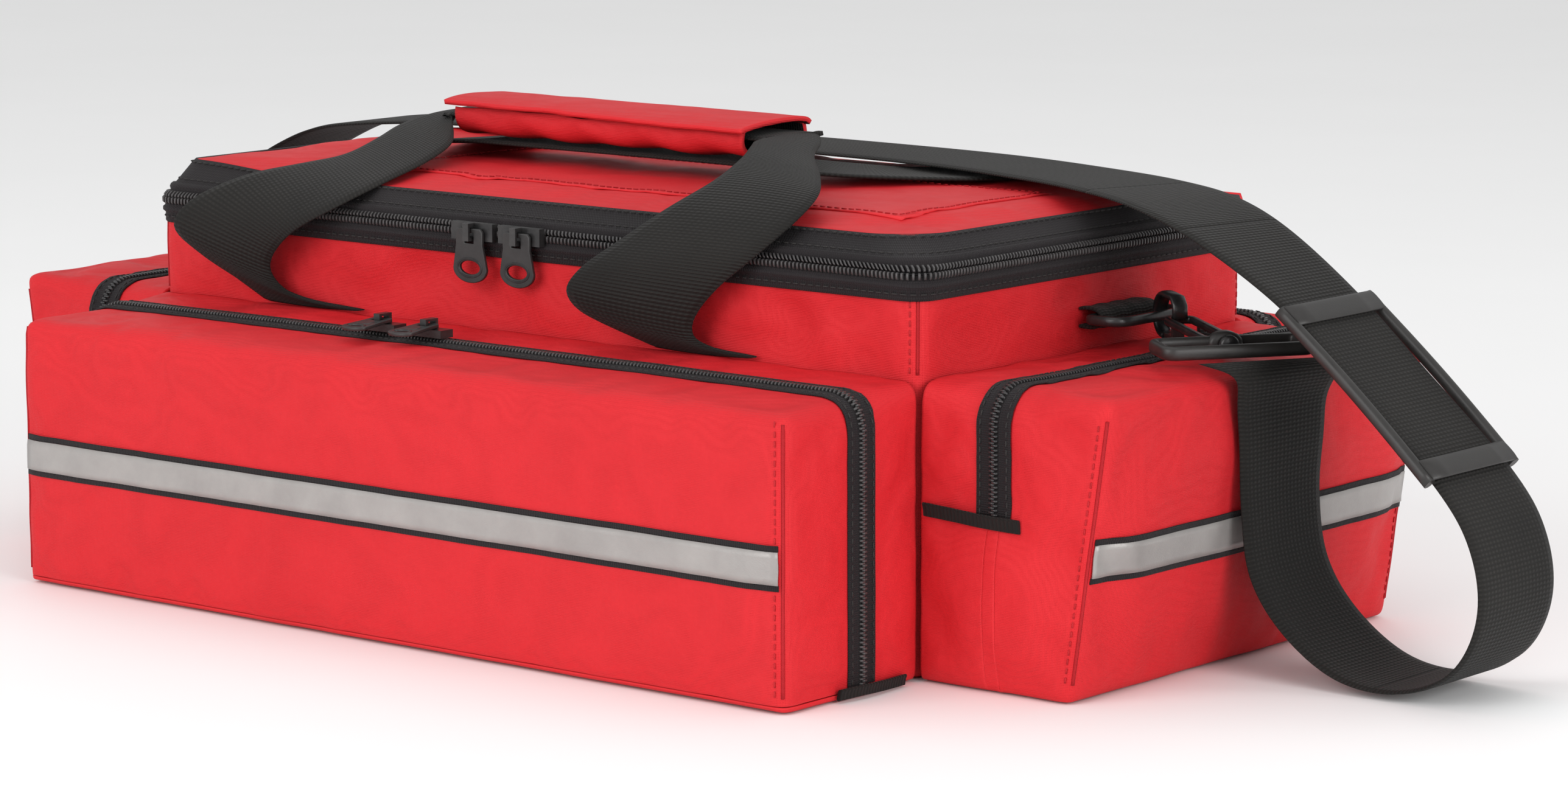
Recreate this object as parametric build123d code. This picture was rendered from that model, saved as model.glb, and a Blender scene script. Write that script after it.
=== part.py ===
from build123d import *
import os

# Soft-sided trauma bag: a box-shaped main compartment with a zipped lid, a pocket on each
# of its four sides, two webbing carry handles joined by a wrap, and a clip-on shoulder strap.
# Millimetres. +X runs along the bag, -Y is its front, +Z is up. The origin is the centre
# of the main compartment's base, on the surface that the bag stands on.

# ---- driving dimensions ----
HALF_L = 257.0          # main compartment, half length
HALF_D = 137.0          # main compartment, half depth
BAG_H = 210.0           # top of the lid
ZIP_BASE_H = 186.0      # lower edge of the main zip's band
ZIP_LINE_H = 195.0      # where the two rows of main zip teeth meet
LID_INSET = 18.0        # how far the lid's top tape slopes inwards
FRONT_D = 101.0         # front pocket depth
BACK_D = 56.0           # back pocket depth
END_D = 111.0           # end pocket depth at its top
END_FLARE = 21.0        # how much less deep an end pocket is at its base
POCKET_H = 145.0        # pocket height against the main compartment
POCKET_FRONT_H = 140.0  # front and back pocket height at their outer edge
WALL = 8.0              # foam-padded wall of the main compartment
SKIN = 3.0              # coated pocket fabric with its lining
BOARD = 4.0             # stiff board in the base
GAP = 0.6               # clearance between pieces that move apart

FRONT_ZIP = 57.0        # front zip's distance in from the pocket's outer face
BACK_ZIP = 28.0         # back zip's distance in from the pocket's outer face
END_ZIP = 45.0          # end zip's distance out from the main compartment
END_HINGE_H = 82.0      # fold line of an end pocket's flap
TAPE = 10.0             # width of one half of a pocket zip
TAPE_T = 1.2            # thickness of zip tape
TOOTH = 1.4             # height of the row of teeth above its tape

STRIPE_LOW = 60.5       # reflective stripe, lower edge
STRIPE_HIGH = 77.5      # reflective stripe, upper edge
STRIPE_T = 0.8

WEBBING_W = 67.0        # strap and handle webbing
WEBBING_T = 2.2
END_SLIDER_Y = {"left": -30.0, "right": 37.0}
RING_H = 161.5          # height of the strap rings
RING_OUT = 28.5         # strap ring's outer bar, distance out from the main compartment

FRONT = -HALF_D - FRONT_D
BACK = HALF_D + BACK_D


# ---- helpers ----
def block(x, y, z):
    """A box from three (low, high) pairs."""
    size = (x[1] - x[0], y[1] - y[0], z[1] - z[0])
    centre = ((x[0] + x[1]) / 2, (y[0] + y[1]) / 2, (z[0] + z[1]) / 2)
    return Pos(*centre) * Box(*size)


def prism_x(profile, x):
    """A closed outline of (y, z) points, carried along X."""
    face = make_face(Polyline(*[(x[0], p[0], p[1]) for p in profile], close=True))
    return extrude(face, amount=x[1] - x[0], dir=(1, 0, 0))


def prism_y(profile, y):
    """A closed outline of (x, z) points, carried along Y."""
    face = make_face(Polyline(*[(p[0], y[0], p[1]) for p in profile], close=True))
    return extrude(face, amount=y[1] - y[0], dir=(0, 1, 0))


def flipped(shape, side):
    """The shape itself for side 1, or its mirror image at the other end for side -1."""
    return shape if side > 0 else mirror(shape, about=Plane.YZ)


def ribbon(stations):
    """Flat webbing through stations: a centre, the direction of the webbing's width there
    and, where it is folded narrower, the share of its width that is left."""
    rings = []
    for n, (centre, across, *share) in enumerate(stations):
        before = Vector(*stations[max(n - 1, 0)][0])
        after = Vector(*stations[min(n + 1, len(stations) - 1)][0])
        along = (after - before).normalized()
        side = Vector(*across).normalized() * (WEBBING_W / 2 * (share[0] if share else 1))
        up = along.cross(side).normalized() * (WEBBING_T / 2)
        mid = Vector(*centre)
        rings.append([mid - side - up, mid + side - up, mid + side + up, mid - side + up])
    faces = [four_sided(rings[0][::-1]), four_sided(rings[-1])]
    for near, far in zip(rings, rings[1:]):
        for k in range(4):
            m = (k + 1) % 4
            faces.append(three_sided(near[k], near[m], far[m]))
            faces.append(three_sided(near[k], far[m], far[k]))
    return Solid(Shell(faces))


def three_sided(a, b, c):
    return Face(Wire.make_polygon([a, b, c], close=True))


def four_sided(corners):
    return Face(Wire.make_polygon(corners, close=True))


def save(name, *shapes):
    """Writes one sub-part: a single solid, or a group of separate solids."""
    solids = [s for shape in shapes for s in shape.solids()]
    whole = solids[0] if len(solids) == 1 else Compound(children=solids)
    export_step(whole, f"parts/{name}.step")


# ---- main compartment ----
def main_compartment():
    save("base_panel", block((-HALF_L, HALF_L), (-HALF_D, HALF_D), (0, SKIN)))
    board_x = HALF_L - WALL - 3
    board_y = HALF_D - WALL - 3
    save("base_board", block((-board_x, board_x), (-board_y, board_y), (SKIN, SKIN + BOARD)))

    long_x = (-HALF_L, HALF_L)
    inner_y = (-HALF_D + WALL, HALF_D - WALL)
    save("front_wall", block(long_x, (-HALF_D, -HALF_D + WALL), (SKIN, ZIP_BASE_H)))
    save("back_wall", block(long_x, (HALF_D - WALL, HALF_D), (SKIN, BAG_H - 6)))
    end = block((HALF_L - WALL, HALF_L), inner_y, (SKIN, ZIP_BASE_H))
    save("end_walls", end, flipped(end, -1))

    divider_y = (-HALF_D + WALL + 2, HALF_D - WALL - 2)
    divider_z = (SKIN + BOARD, 150)
    save("dividers", *[block((x - 3, x + 3), divider_y, divider_z) for x in (-86, 86)])


def band(inset_low, inset_high, z, thickness):
    """A band round the front and both ends, open at the back, sloping in by its height."""
    rise = z[1] - z[0]
    slope = (inset_high - inset_low) / rise
    y_end = HALF_D - WALL - GAP
    runs = []
    for grow in (0, thickness):
        low, high = inset_low + grow, inset_high + grow
        front = -HALF_D + low, -HALF_D + high
        ends = HALF_L - low, HALF_L - high
        lower = [(-ends[0], front[0]), (ends[0], front[0]), (ends[0], y_end), (-ends[0], y_end)]
        upper = [(-ends[1], front[1]), (ends[1], front[1]), (ends[1], y_end), (-ends[1], y_end)]
        reach = 0 if grow == 0 else 1
        lower_z, upper_z = z[0] - reach, z[1] + reach
        if reach:
            lower = [(x + (slope if x > 0 else -slope), y - (slope if y < 0 else -reach)) for x, y in lower]
            upper = [(x - (slope if x > 0 else -slope), y + (slope if y < 0 else reach)) for x, y in upper]
        sections = [
            make_face(Polyline(*[(x, y, lower_z) for x, y in lower], close=True)),
            make_face(Polyline(*[(x, y, upper_z) for x, y in upper], close=True)),
        ]
        runs.append(loft(sections, ruled=True))
    return runs[0] - runs[1]


def lid():
    panel = block(
        (-HALF_L + LID_INSET, HALF_L - LID_INSET), (-HALF_D + LID_INSET, HALF_D), (BAG_H - 4, BAG_H)
    )
    save("lid_panel", panel)
    foam_x = HALF_L - LID_INSET - 8
    save("lid_foam", block((-foam_x, foam_x), (-HALF_D + LID_INSET + 8, 120), (200, BAG_H - 4)))
    patch = block((-150, 205), (-84, 40), (BAG_H, BAG_H + 0.8))
    save("lid_patch", patch)

    tape = band(0, LID_INSET, (ZIP_LINE_H + GAP, BAG_H), 2.0) - panel
    save("lid_zip", tape)
    lower_tape = band(-1.2, -1.2, (ZIP_BASE_H - 1, ZIP_LINE_H), 2.0)
    save("body_zip", lower_tape - block((-HALF_L, HALF_L), (-HALF_D, HALF_D), (0, ZIP_BASE_H)))


# ---- zips ----
def long_zip(outer_face, in_y, sign):
    """Both halves of the front or back pocket's zip, as (against the bag, on the flap)."""
    line = outer_face + sign * in_y
    top = pocket_top(line + sign * TAPE) + 0.2
    out_x = HALF_L + TAPE_T
    halves = []
    for away in (sign, -sign):
        near, far = line + away * GAP / 2, line + away * TAPE
        tape_y = (min(near, far), max(near, far))
        tooth_far = line + away * 2.0
        tooth_y = (min(near, tooth_far), max(near, tooth_far))
        top_tape = block((-out_x, out_x), tape_y, (top, top + TAPE_T))
        top_teeth = block((-out_x, out_x), tooth_y, (top + TAPE_T, top + TAPE_T + TOOTH))
        half = top_tape + top_teeth
        for side in (-1, 1):
            tape = block((HALF_L, out_x), tape_y, (SKIN + 2, top + TAPE_T))
            teeth = block((out_x, out_x + TOOTH), tooth_y, (SKIN + 2, top + TAPE_T + TOOTH))
            half = half + flipped(tape + teeth, side)
        halves.append(half)
    return halves


def pocket_top(y):
    """Height of the front or back pocket's sloping top at this y."""
    depth = FRONT_D if y < 0 else BACK_D
    out = (abs(y) - HALF_D) / depth
    return POCKET_H + (POCKET_FRONT_H - POCKET_H) * out


def long_pocket(prefix, sign):
    """Front (sign 1) or back (sign -1) pocket: a fixed gusset and a shell that folds down."""
    wall = -sign * HALF_D
    outer = FRONT if sign > 0 else BACK
    zip_in = FRONT_ZIP if sign > 0 else BACK_ZIP
    line = outer + sign * zip_in
    skin_y = sign * SKIN
    outline = [(wall, 0), (outer, 0), (outer, POCKET_FRONT_H), (wall, POCKET_H)]
    hollow = [
        (wall + skin_y, SKIN),
        (outer + skin_y, SKIN),
        (outer + skin_y, POCKET_FRONT_H - SKIN),
        (wall + skin_y, POCKET_H - SKIN),
    ]
    shell = prism_x(outline, (-HALF_L, HALF_L)) - prism_x(hollow, (-HALF_L + SKIN, HALF_L - SKIN))

    wide = (-HALF_L - 1, HALF_L + 1)
    slit = 4.0
    fixed_edge, flap_edge = line + sign * slit, line - sign * slit
    past = outer - sign * 5
    above_base = (SKIN + GAP, BAG_H)
    removed = block(wide, tuple(sorted((past, fixed_edge))), (SKIN, BAG_H))
    save(f"{prefix}_gusset", shell - removed)
    kept = block(wide, tuple(sorted((past, flap_edge))), above_base)
    save(f"{prefix}_panel", shell & kept)

    fixed_zip, flap_zip = long_zip(outer, zip_in, sign)
    save(f"{prefix}_zip_fixed", fixed_zip)
    save(f"{prefix}_zip_flap", flap_zip)


# ---- end pockets ----
def end_face(z):
    """Distance from the bag's centre to an end pocket's outer face at this height."""
    return HALF_L + END_D - END_FLARE * (1 - z / POCKET_H)


def end_pocket(name, side):
    wide = (-HALF_D, HALF_D)
    outline = [(HALF_L, 0), (end_face(0), 0), (end_face(POCKET_H), POCKET_H), (HALF_L, POCKET_H)]
    high, low = POCKET_H - SKIN, SKIN
    hollow = [(HALF_L, low), (end_face(low) - SKIN, low), (end_face(high) - SKIN, high), (HALF_L, high)]
    shell = prism_y(outline, wide) - prism_y(hollow, (-HALF_D + SKIN, HALF_D - SKIN))

    line = HALF_L + END_ZIP
    slit = 4.0
    past = HALF_L + END_D + 5
    taller = (-HALF_D - 1, HALF_D + 1)
    upper = block((line - slit, past), taller, (END_HINGE_H, BAG_H))
    save(f"{name}_pocket", flipped(shell - upper, side))

    top_part = shell & block((line + slit, past), taller, (END_HINGE_H + GAP, BAG_H))
    seam = [(end_face(z) - SKIN, z) for z in (END_HINGE_H - 5, BAG_H)]
    outer_side = prism_y(seam + [(past, BAG_H), (past, END_HINGE_H - 5)], taller)
    save(f"{name}_flap", flipped(top_part & outer_side, side))
    save(f"{name}_flap_sides", flipped(top_part - outer_side, side))

    save(f"{name}_zip_flap", flipped(end_zip_half(1), side))


def end_zip_half(away):
    """Right end pocket's zip, over its top and half way down its front and back faces.

    away is 1 for the half on the flap and -1 for the fixed half."""
    line = HALF_L + END_ZIP
    near, far, tooth = line + away * GAP / 2, line + away * TAPE, line + away * 2.0
    tape_x, teeth_x = tuple(sorted((near, far))), tuple(sorted((near, tooth)))
    out_y = HALF_D + TAPE_T
    top = POCKET_H + TAPE_T
    foot = END_HINGE_H + 3
    half = block(tape_x, (-out_y, out_y), (POCKET_H, top))
    half = half + block(teeth_x, (-out_y - TOOTH, out_y + TOOTH), (top, top + TOOTH))
    for y in ((-out_y, -HALF_D), (HALF_D, out_y)):
        half = half + block(tape_x, y, (foot, top))
    for y in ((-out_y - TOOTH, -out_y), (out_y, out_y + TOOTH)):
        half = half + block(teeth_x, y, (foot, top + TOOTH))
    return half


def zip_end_tabs():
    """Folded webbing that finishes each pocket zip."""
    tabs = []
    for side in (-1, 1):
        low = block((HALF_L + 0.2, HALF_L + 4), (-198, -150), (1, SKIN + 1.6))
        tabs.append(flipped(low, side))
        for y in ((-HALF_D - 3.4, -HALF_D - 0.2), (HALF_D + 0.2, HALF_D + 3.4)):
            high = block((HALF_L + 8, HALF_L + END_ZIP + 14), y, (END_HINGE_H - 6, END_HINGE_H - 0.4))
            tabs.append(flipped(high, side))
    save("zip_end_tabs", *tabs)


def stripes():
    front = block((-HALF_L, HALF_L), (FRONT - STRIPE_T, FRONT), (STRIPE_LOW, STRIPE_HIGH))
    save("front_stripe", front)
    low, high = end_face(STRIPE_LOW), end_face(STRIPE_HIGH)
    inner_edge = [(low, STRIPE_LOW), (high, STRIPE_HIGH)]
    outline = inner_edge + [(high + STRIPE_T, STRIPE_HIGH), (low + STRIPE_T, STRIPE_LOW)]
    band_piece = prism_y(outline, (-HALF_D, HALF_D))
    save("end_stripes", *[flipped(band_piece, side) for side in (-1, 1)])


# ---- zip sliders and pulls ----
def slider_and_pull(name, place, long, tall, pull_size, hang):
    """A slider on its zip and the pull looped through its bridge.

    place moves them from a frame where the zip runs along X and faces +Z; hang turns the
    pull down about its pivot, from lying along -Y."""
    body = block((-long / 2, long / 2), (-4.5, 4.5), (0, tall))
    posts = [block((-2, 2), y, (tall, tall + 3.6)) for y in ((-4.5, -2.6), (2.6, 4.5))]
    roof = block((-2, 2), (-4.5, 4.5), (tall + 3.6, tall + 4.8))
    save(f"{name}_slider", place * (Part() + [body, roof] + posts))

    width, length = pull_size
    plate = block((-width / 2, width / 2), (-length, 0), (-0.9, 0.9))
    finger_hole = Pos(0, -length + width * 0.3, 0) * Box(width * 0.55, width * 0.24, 4)
    bridge_window = Pos(0, -4.4, 0) * Box(7, 6, 4)
    pivot = Pos(0, 1.3, tall + 1.6)
    save(f"{name}_pull", place * pivot * Rot(hang, 0, 0) * (plate - finger_hole - bridge_window))


def sliders():
    main_face = Pos(0, -HALF_D - 2.8, ZIP_LINE_H) * Rot(90, 0, 0)
    slider_and_pull("main_left", Pos(-23, 0, 0) * main_face, 28, 4, (22, 27), 0)
    slider_and_pull("main_right", Pos(9, 0, 0) * main_face, 28, 4, (22, 27), 0)

    teeth_top = TAPE_T + TOOTH + 0.4
    line = FRONT + FRONT_ZIP
    front_face = Pos(0, line, pocket_top(line + TAPE) + teeth_top)
    slider_and_pull("front_left", Pos(-50, 0, 0) * front_face, 24, 4, (15, 26), 5)
    slider_and_pull("front_right", Pos(-18, 0, 0) * front_face, 24, 4, (15, 26), 5)

    line = BACK - BACK_ZIP
    back_face = Pos(0, line, pocket_top(line - TAPE) + teeth_top) * Rot(0, 0, 180)
    slider_and_pull("back", back_face, 24, 4, (15, 26), 5)

    for name, side in (("left", -1), ("right", 1)):
        here = Pos(side * (HALF_L + END_ZIP), END_SLIDER_Y[name], POCKET_H + teeth_top)
        slider_and_pull(f"{name}_end", here * Rot(0, 0, side * 90), 18, 3, (12, 18), 2)


# ---- carry handles ----
GRIP_X = (-143, 57)     # ends of the wrap that joins the handles
GRIP_HALF = 25.0        # half the wrap's depth
GRIP_Z = (226.5, 247)   # underside and top of the wrap
FRONT_HANDLE = [
    ((-140, -140.5, 147), (1, 0, 0)),
    ((-160, -150, 162), (1, 0.1, -0.05)),
    ((-181, -166, 181), (0.93, 0.33, -0.15)),
    ((-172, -160, 194), (0.93, 0.05, -0.25)),
    ((-154, -143, 205), (0.78, -0.52, -0.33)),
    ((-143, -118, 217), (0.93, -0.35, -0.1)),
    ((-143, -85, 226), (0.97, -0.2, 0)),
    ((-156, -52, 233), (0.85, -0.5, 0.15)),
    ((-168, -22, 238), (0.55, -0.8, 0.2), 0.95),
    ((-160, -4, 240), (0.15, -0.95, 0.1), 0.82),
    ((-146, 0, 238), (0, -1, 0), 0.68),
    ((59, 0, 238), (0, -1, 0), 0.66),
    ((70, -1, 238), (-0.08, -1, 0), 0.72),
    ((80, -8, 237.5), (-0.35, -0.93, 0.05), 0.78),
    ((92, -24, 236.5), (-0.65, -0.75, 0.08), 0.86),
    ((108, -50, 234), (-0.9, -0.45, 0.1), 0.95),
    ((128, -82, 230), (-0.99, -0.15, 0.06)),
    ((141, -112, 225), (-1, 0, 0)),
    ((131, -141, 211), (-0.97, 0.02, 0.2)),
    ((110, -157, 191), (-0.96, -0.22, 0.16)),
    ((97, -162, 171), (-0.94, -0.3, 0.14)),
    ((108, -152, 157), (-0.98, -0.12, 0.05)),
    ((126, -140.5, 147), (-1, 0, 0)),
]
BACK_HANDLE = [
    ((-140, 141, 147), (1, 0, 0)),
    ((-150, 148, 168), (1, 0, 0)),
    ((-156, 151, 192), (1, 0, 0)),
    ((-155, 145, 210), (1, 0, 0)),
    ((-154, 126, 215.4), (1, 0.05, 0)),
    ((-154, 84, 215.4), (1, 0.1, 0)),
    ((-158, 46, 217), (0.9, 0.4, 0)),
    ((-156, 16, 220), (0.55, 0.85, 0), 0.9),
    ((-136, 1, 223), (0.1, 1, 0), 0.75),
    ((-115, 0, 223.4), (0, 1, 0), 0.7),
    ((40, 0, 223.4), (0, 1, 0), 0.7),
    ((64, 3, 222), (-0.2, 1, 0), 0.8),
    ((92, 22, 219.5), (-0.6, 0.8, 0), 0.92),
    ((118, 58, 216.5), (-0.95, 0.35, 0)),
    ((130, 92, 215.4), (-1, 0.12, 0)),
    ((135, 126, 215.4), (-1, 0.05, 0)),
    ((140, 145, 210), (-1, 0, 0)),
    ((142, 151, 192), (-1, 0, 0)),
    ((136, 148, 168), (-1, 0, 0)),
    ((126, 141, 147), (-1, 0, 0)),
]


def handles():
    save("front_handle", ribbon(FRONT_HANDLE))
    save("back_handle", ribbon(BACK_HANDLE))

    low, high = GRIP_Z
    leaf = 3.0
    under_flap = high - leaf - GAP
    underside = block(GRIP_X, (-GRIP_HALF, GRIP_HALF), (low, low + leaf))
    front = block(GRIP_X, (-GRIP_HALF, -GRIP_HALF + leaf / 2), (low + leaf, under_flap))
    back = block(GRIP_X, (GRIP_HALF - leaf / 2, GRIP_HALF), (low + leaf, under_flap))
    save("grip_wrap", underside + front + back)
    save("grip_flap", block((GRIP_X[0] - 2, GRIP_X[1] + 2), (-GRIP_HALF - 1, GRIP_HALF), (high - leaf, high)))


# ---- shoulder strap ----
STRAP = [
    ((-384, 66, 152.5), (0.35, 0.93, 0)),
    ((-389, 68, 163), (0.2, 1, 0)),
    ((-383, 72, 178), (0.05, 1, 0)),
    ((-368, 78, 193), (0, 1, 0)),
    ((-350, 83, 204), (0, 1, 0)),
    ((-330, 87, 212), (0, 1, 0)),
    ((-300, 89, 216.5), (0, 1, 0)),
    ((-240, 92, 220.4), (0, 1, 0)),
    ((-140, 95, 221), (0, 1, 0)),
    ((0, 98, 221), (0, 1, 0)),
    ((110, 91, 221), (0.1, 1, 0)),
    ((190, 70, 221), (0.25, 1, 0)),
    ((250, 45, 221), (0.35, 1, 0)),
    ((300, 20, 218.5), (0.3, 1, 0)),
    ((345, 4, 207), (0.15, 1, 0)),
    ((392, -2, 181), (0, 1, 0)),
    ((428, -2, 150), (0, 1, 0)),
]
STRAP_LOOP = [
    ((430.5, -2, 147.8), (0, 1, 0)),
    ((480, -2, 104), (0, 1, 0)),
    ((499, -2, 76), (0, 1, 0)),
    ((503, -2, 46), (0, 1, 0)),
    ((490, -2, 19), (0, 1, 0)),
    ((461, -2, 5), (0, 1, 0)),
    ((427, -2, 7), (0, 1, 0)),
    ((397, -2, 25), (0, 1, 0)),
    ((378, -2, 50), (0, 1, 0)),
    ((372.5, -2, 82), (0, 1, 0)),
    ((374, -4, 112), (0.05, 1, 0)),
    ((376, -7, 132), (0.1, 1, 0)),
    ((383, -13, 147), (0.25, 0.97, 0)),
    ((376, -25, 153), (0.5, 0.86, 0)),
]


def adjuster():
    """Plastic slide with two cross bars, on the straight stretch of the strap."""
    half = WEBBING_W / 2
    run, wide = 112.0, half + 6.5
    frame = block((-run / 2, run / 2), (-wide, wide), (-3, 5))
    window = block((-run / 2 + 9, run / 2 - 9), (-half - 1.5, half + 1.5), (-9, 9))
    bars = [block((x, x + 12), (-half - 3, half + 3), (1.8, 5)) for x in (-run / 2, run / 2 - 12)]
    channel = block((-run, run), (-half - 1.5, half + 1.5), (-9, 1.8))
    middle = Pos(436, -2, 142.5) * Rot(0, 41.2, 0)
    save("strap_adjuster", middle * (frame - window - channel + bars))


def strap_ends():
    half_tab = 25.0
    tabs = []
    for name, side in (("left", -1), ("right", 1)):
        z = (RING_H - 5.2, RING_H + 5.2)
        tab = block((HALF_L + 0.2, HALF_L + 14.5), (15 - half_tab, 15 + half_tab), z)
        channel = block((HALF_L + 5.5, HALF_L + 12.9), (-40, 70), (RING_H - 3.7, RING_H + 3.7))
        tabs.append(flipped(tab - channel, side))

        outer = block((HALF_L + 6.7, HALF_L + RING_OUT + 2.5), (-16, 46), (RING_H - 2.5, RING_H + 2.5))
        inner = block((HALF_L + 11.7, HALF_L + RING_OUT - 2.5), (-11, 41), (RING_H - 9, RING_H + 9))
        outline = fillet(outer.edges().filter_by(Axis.Z).sort_by(Axis.X)[-2:], radius=9)
        save(f"{name}_d_ring", flipped(outline - inner, side))
    save("d_ring_tabs", *tabs)

    save("strap_end_loops", snap_hook("right", 1, -34.0), snap_hook("left", -1, 22.0))


def snap_hook(name, side, turn):
    """Hook round a ring's outer bar, its sprung gate, and the loop that holds the strap."""
    ring = Pos(HALF_L + RING_OUT, 27, RING_H) * Rot(0, 0, turn) * Rot(0, 3, 0)
    eye, rim, half = 8.5, 12.0, 4.0
    curl = Rot(90, 0, 0) * (Cylinder(rim, 2 * half) - Cylinder(eye, 4 * half))
    curl = curl - block((0, 30), (-9, 9), (-30, 30))
    top = block((-0.5, 15), (-half, half), (eye, rim))
    web = block((12, 16), (-half, half), (-2, rim))
    tip = block((-0.5, 3), (-half, half), (-rim, -eye))
    frame = block((12, 70), (-9, 9), (-2, 2)) - block((19, 63), (-4.5, 4.5), (-4, 4))
    stud = Pos(74, 0, 0) * Rot(0, 90, 0) * Cylinder(3.0, 10)
    head = Pos(81, 0, 0) * Rot(0, 90, 0) * Cylinder(5.0, 4)
    hook = Part() + [curl, top, web, tip, frame, stud, head]
    save(f"{name}_hook", flipped(ring * hook, side))

    gate = block((3.6, 15.4), (-3, 3), (-rim, -eye)) + block((12.6, 15.4), (-3, 3), (-eye - 0.1, -2.4))
    save(f"{name}_gate", flipped(ring * gate, side))

    collar = block((70.6, 78.4), (-9, 9), (-6, 6)) - Pos(74, 0, 0) * Rot(0, 90, 0) * Cylinder(3.06, 30)
    half_loop = WEBBING_W / 2 + 6
    arms = [block((70.6, 98), (y, y + 5), (-4, 4)) for y in (-half_loop, half_loop - 5)]
    near_bar = block((70.6, 76), (-half_loop, half_loop), (-4, 4)) - block((70, 90), (-8.9, 8.9), (-9, 9))
    far_bar = block((92, 98), (-half_loop, half_loop), (-4, 4))
    loop = Part() + arms + [near_bar, far_bar, collar]
    return flipped(ring * loop, side)


def shoulder_strap():
    save("shoulder_strap", ribbon(STRAP))
    save("strap_drop", ribbon(STRAP_LOOP))


os.makedirs("parts", exist_ok=True)
main_compartment()
lid()
long_pocket("front", 1)
long_pocket("back", -1)
end_pocket("left", -1)
end_pocket("right", 1)
save("end_zips_fixed", *[flipped(end_zip_half(-1), side) for side in (-1, 1)])
zip_end_tabs()
stripes()
sliders()
handles()
adjuster()
strap_ends()
shoulder_strap()
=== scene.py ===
"""Looks of a red trauma bag: soft pockets, zips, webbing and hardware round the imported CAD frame."""

import math

import bpy
import bmesh
import numpy as np
from mathutils import Matrix, Vector, noise
from mathutils.bvhtree import BVHTree


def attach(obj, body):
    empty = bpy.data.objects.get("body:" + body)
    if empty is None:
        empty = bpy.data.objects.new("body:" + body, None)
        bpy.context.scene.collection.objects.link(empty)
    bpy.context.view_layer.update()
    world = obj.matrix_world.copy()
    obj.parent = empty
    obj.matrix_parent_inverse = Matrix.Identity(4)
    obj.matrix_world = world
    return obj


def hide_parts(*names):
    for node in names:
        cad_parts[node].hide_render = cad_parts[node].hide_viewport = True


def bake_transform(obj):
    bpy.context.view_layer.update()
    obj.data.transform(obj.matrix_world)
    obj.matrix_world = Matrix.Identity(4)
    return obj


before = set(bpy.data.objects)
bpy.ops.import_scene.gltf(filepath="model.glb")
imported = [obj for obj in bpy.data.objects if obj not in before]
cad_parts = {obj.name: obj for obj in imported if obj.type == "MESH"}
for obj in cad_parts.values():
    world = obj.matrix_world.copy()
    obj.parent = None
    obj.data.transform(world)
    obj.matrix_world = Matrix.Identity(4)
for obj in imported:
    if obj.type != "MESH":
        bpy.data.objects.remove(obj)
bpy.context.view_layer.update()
scene = bpy.context.scene

# ---- sizes of the CAD frame, in metres ----
HALF_L, HALF_D = 0.257, 0.137
FRONT, BACK = -0.238, 0.193
END_D, END_FLARE = 0.111, 0.021
POCKET_H, LID_TOP = 0.145, 0.210
FRONT_ZIP_Y, BACK_ZIP_Y, END_ZIP_X = -0.181, 0.165, 0.302
END_FOLD_Z = 0.082
ZIP_SLIT = 0.0035  # from a pocket zip's line to the cloth beside it
ZIP_HOLD, SEAM_HOLD = 0.013, 0.004  # how far a pocket's cloth is held beside its zip and seams
STRIPE_LOW, STRIPE_HIGH = 0.0605, 0.0775
RING_BAR_X, RING_OUTER_X, RING_Z = 0.2662, 0.2855, 0.1615
WEBBING = 0.067
WEBBING_RING = 28  # points round webbing's edge
SEAM_STITCHES = 0.0045, 0.002  # their pitch, and where the first one lies
UP, DOWN = (0, 0, 1), (0, 0, -1)


# ---- camera ----
def look_from(location, azimuth, elevation, lens):
    camera = bpy.data.objects.new("camera", bpy.data.cameras.new("camera"))
    scene.collection.objects.link(camera)
    level = math.cos(elevation)
    back = Vector((math.sin(azimuth) * level, -math.cos(azimuth) * level, math.sin(elevation)))
    right = Vector((math.cos(azimuth), math.sin(azimuth), 0))
    turn = Matrix((right, back.cross(right), back)).transposed()
    camera.matrix_world = Matrix.Translation(location) @ turn.to_4x4()
    camera.data.lens = lens
    camera.data.sensor_width = 36
    camera.data.clip_end = 50
    scene.camera = camera


look_from(Vector((1.6421, -1.9369, 0.4931)), azimuth=0.6839, elevation=0.1564, lens=111.8)


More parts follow.
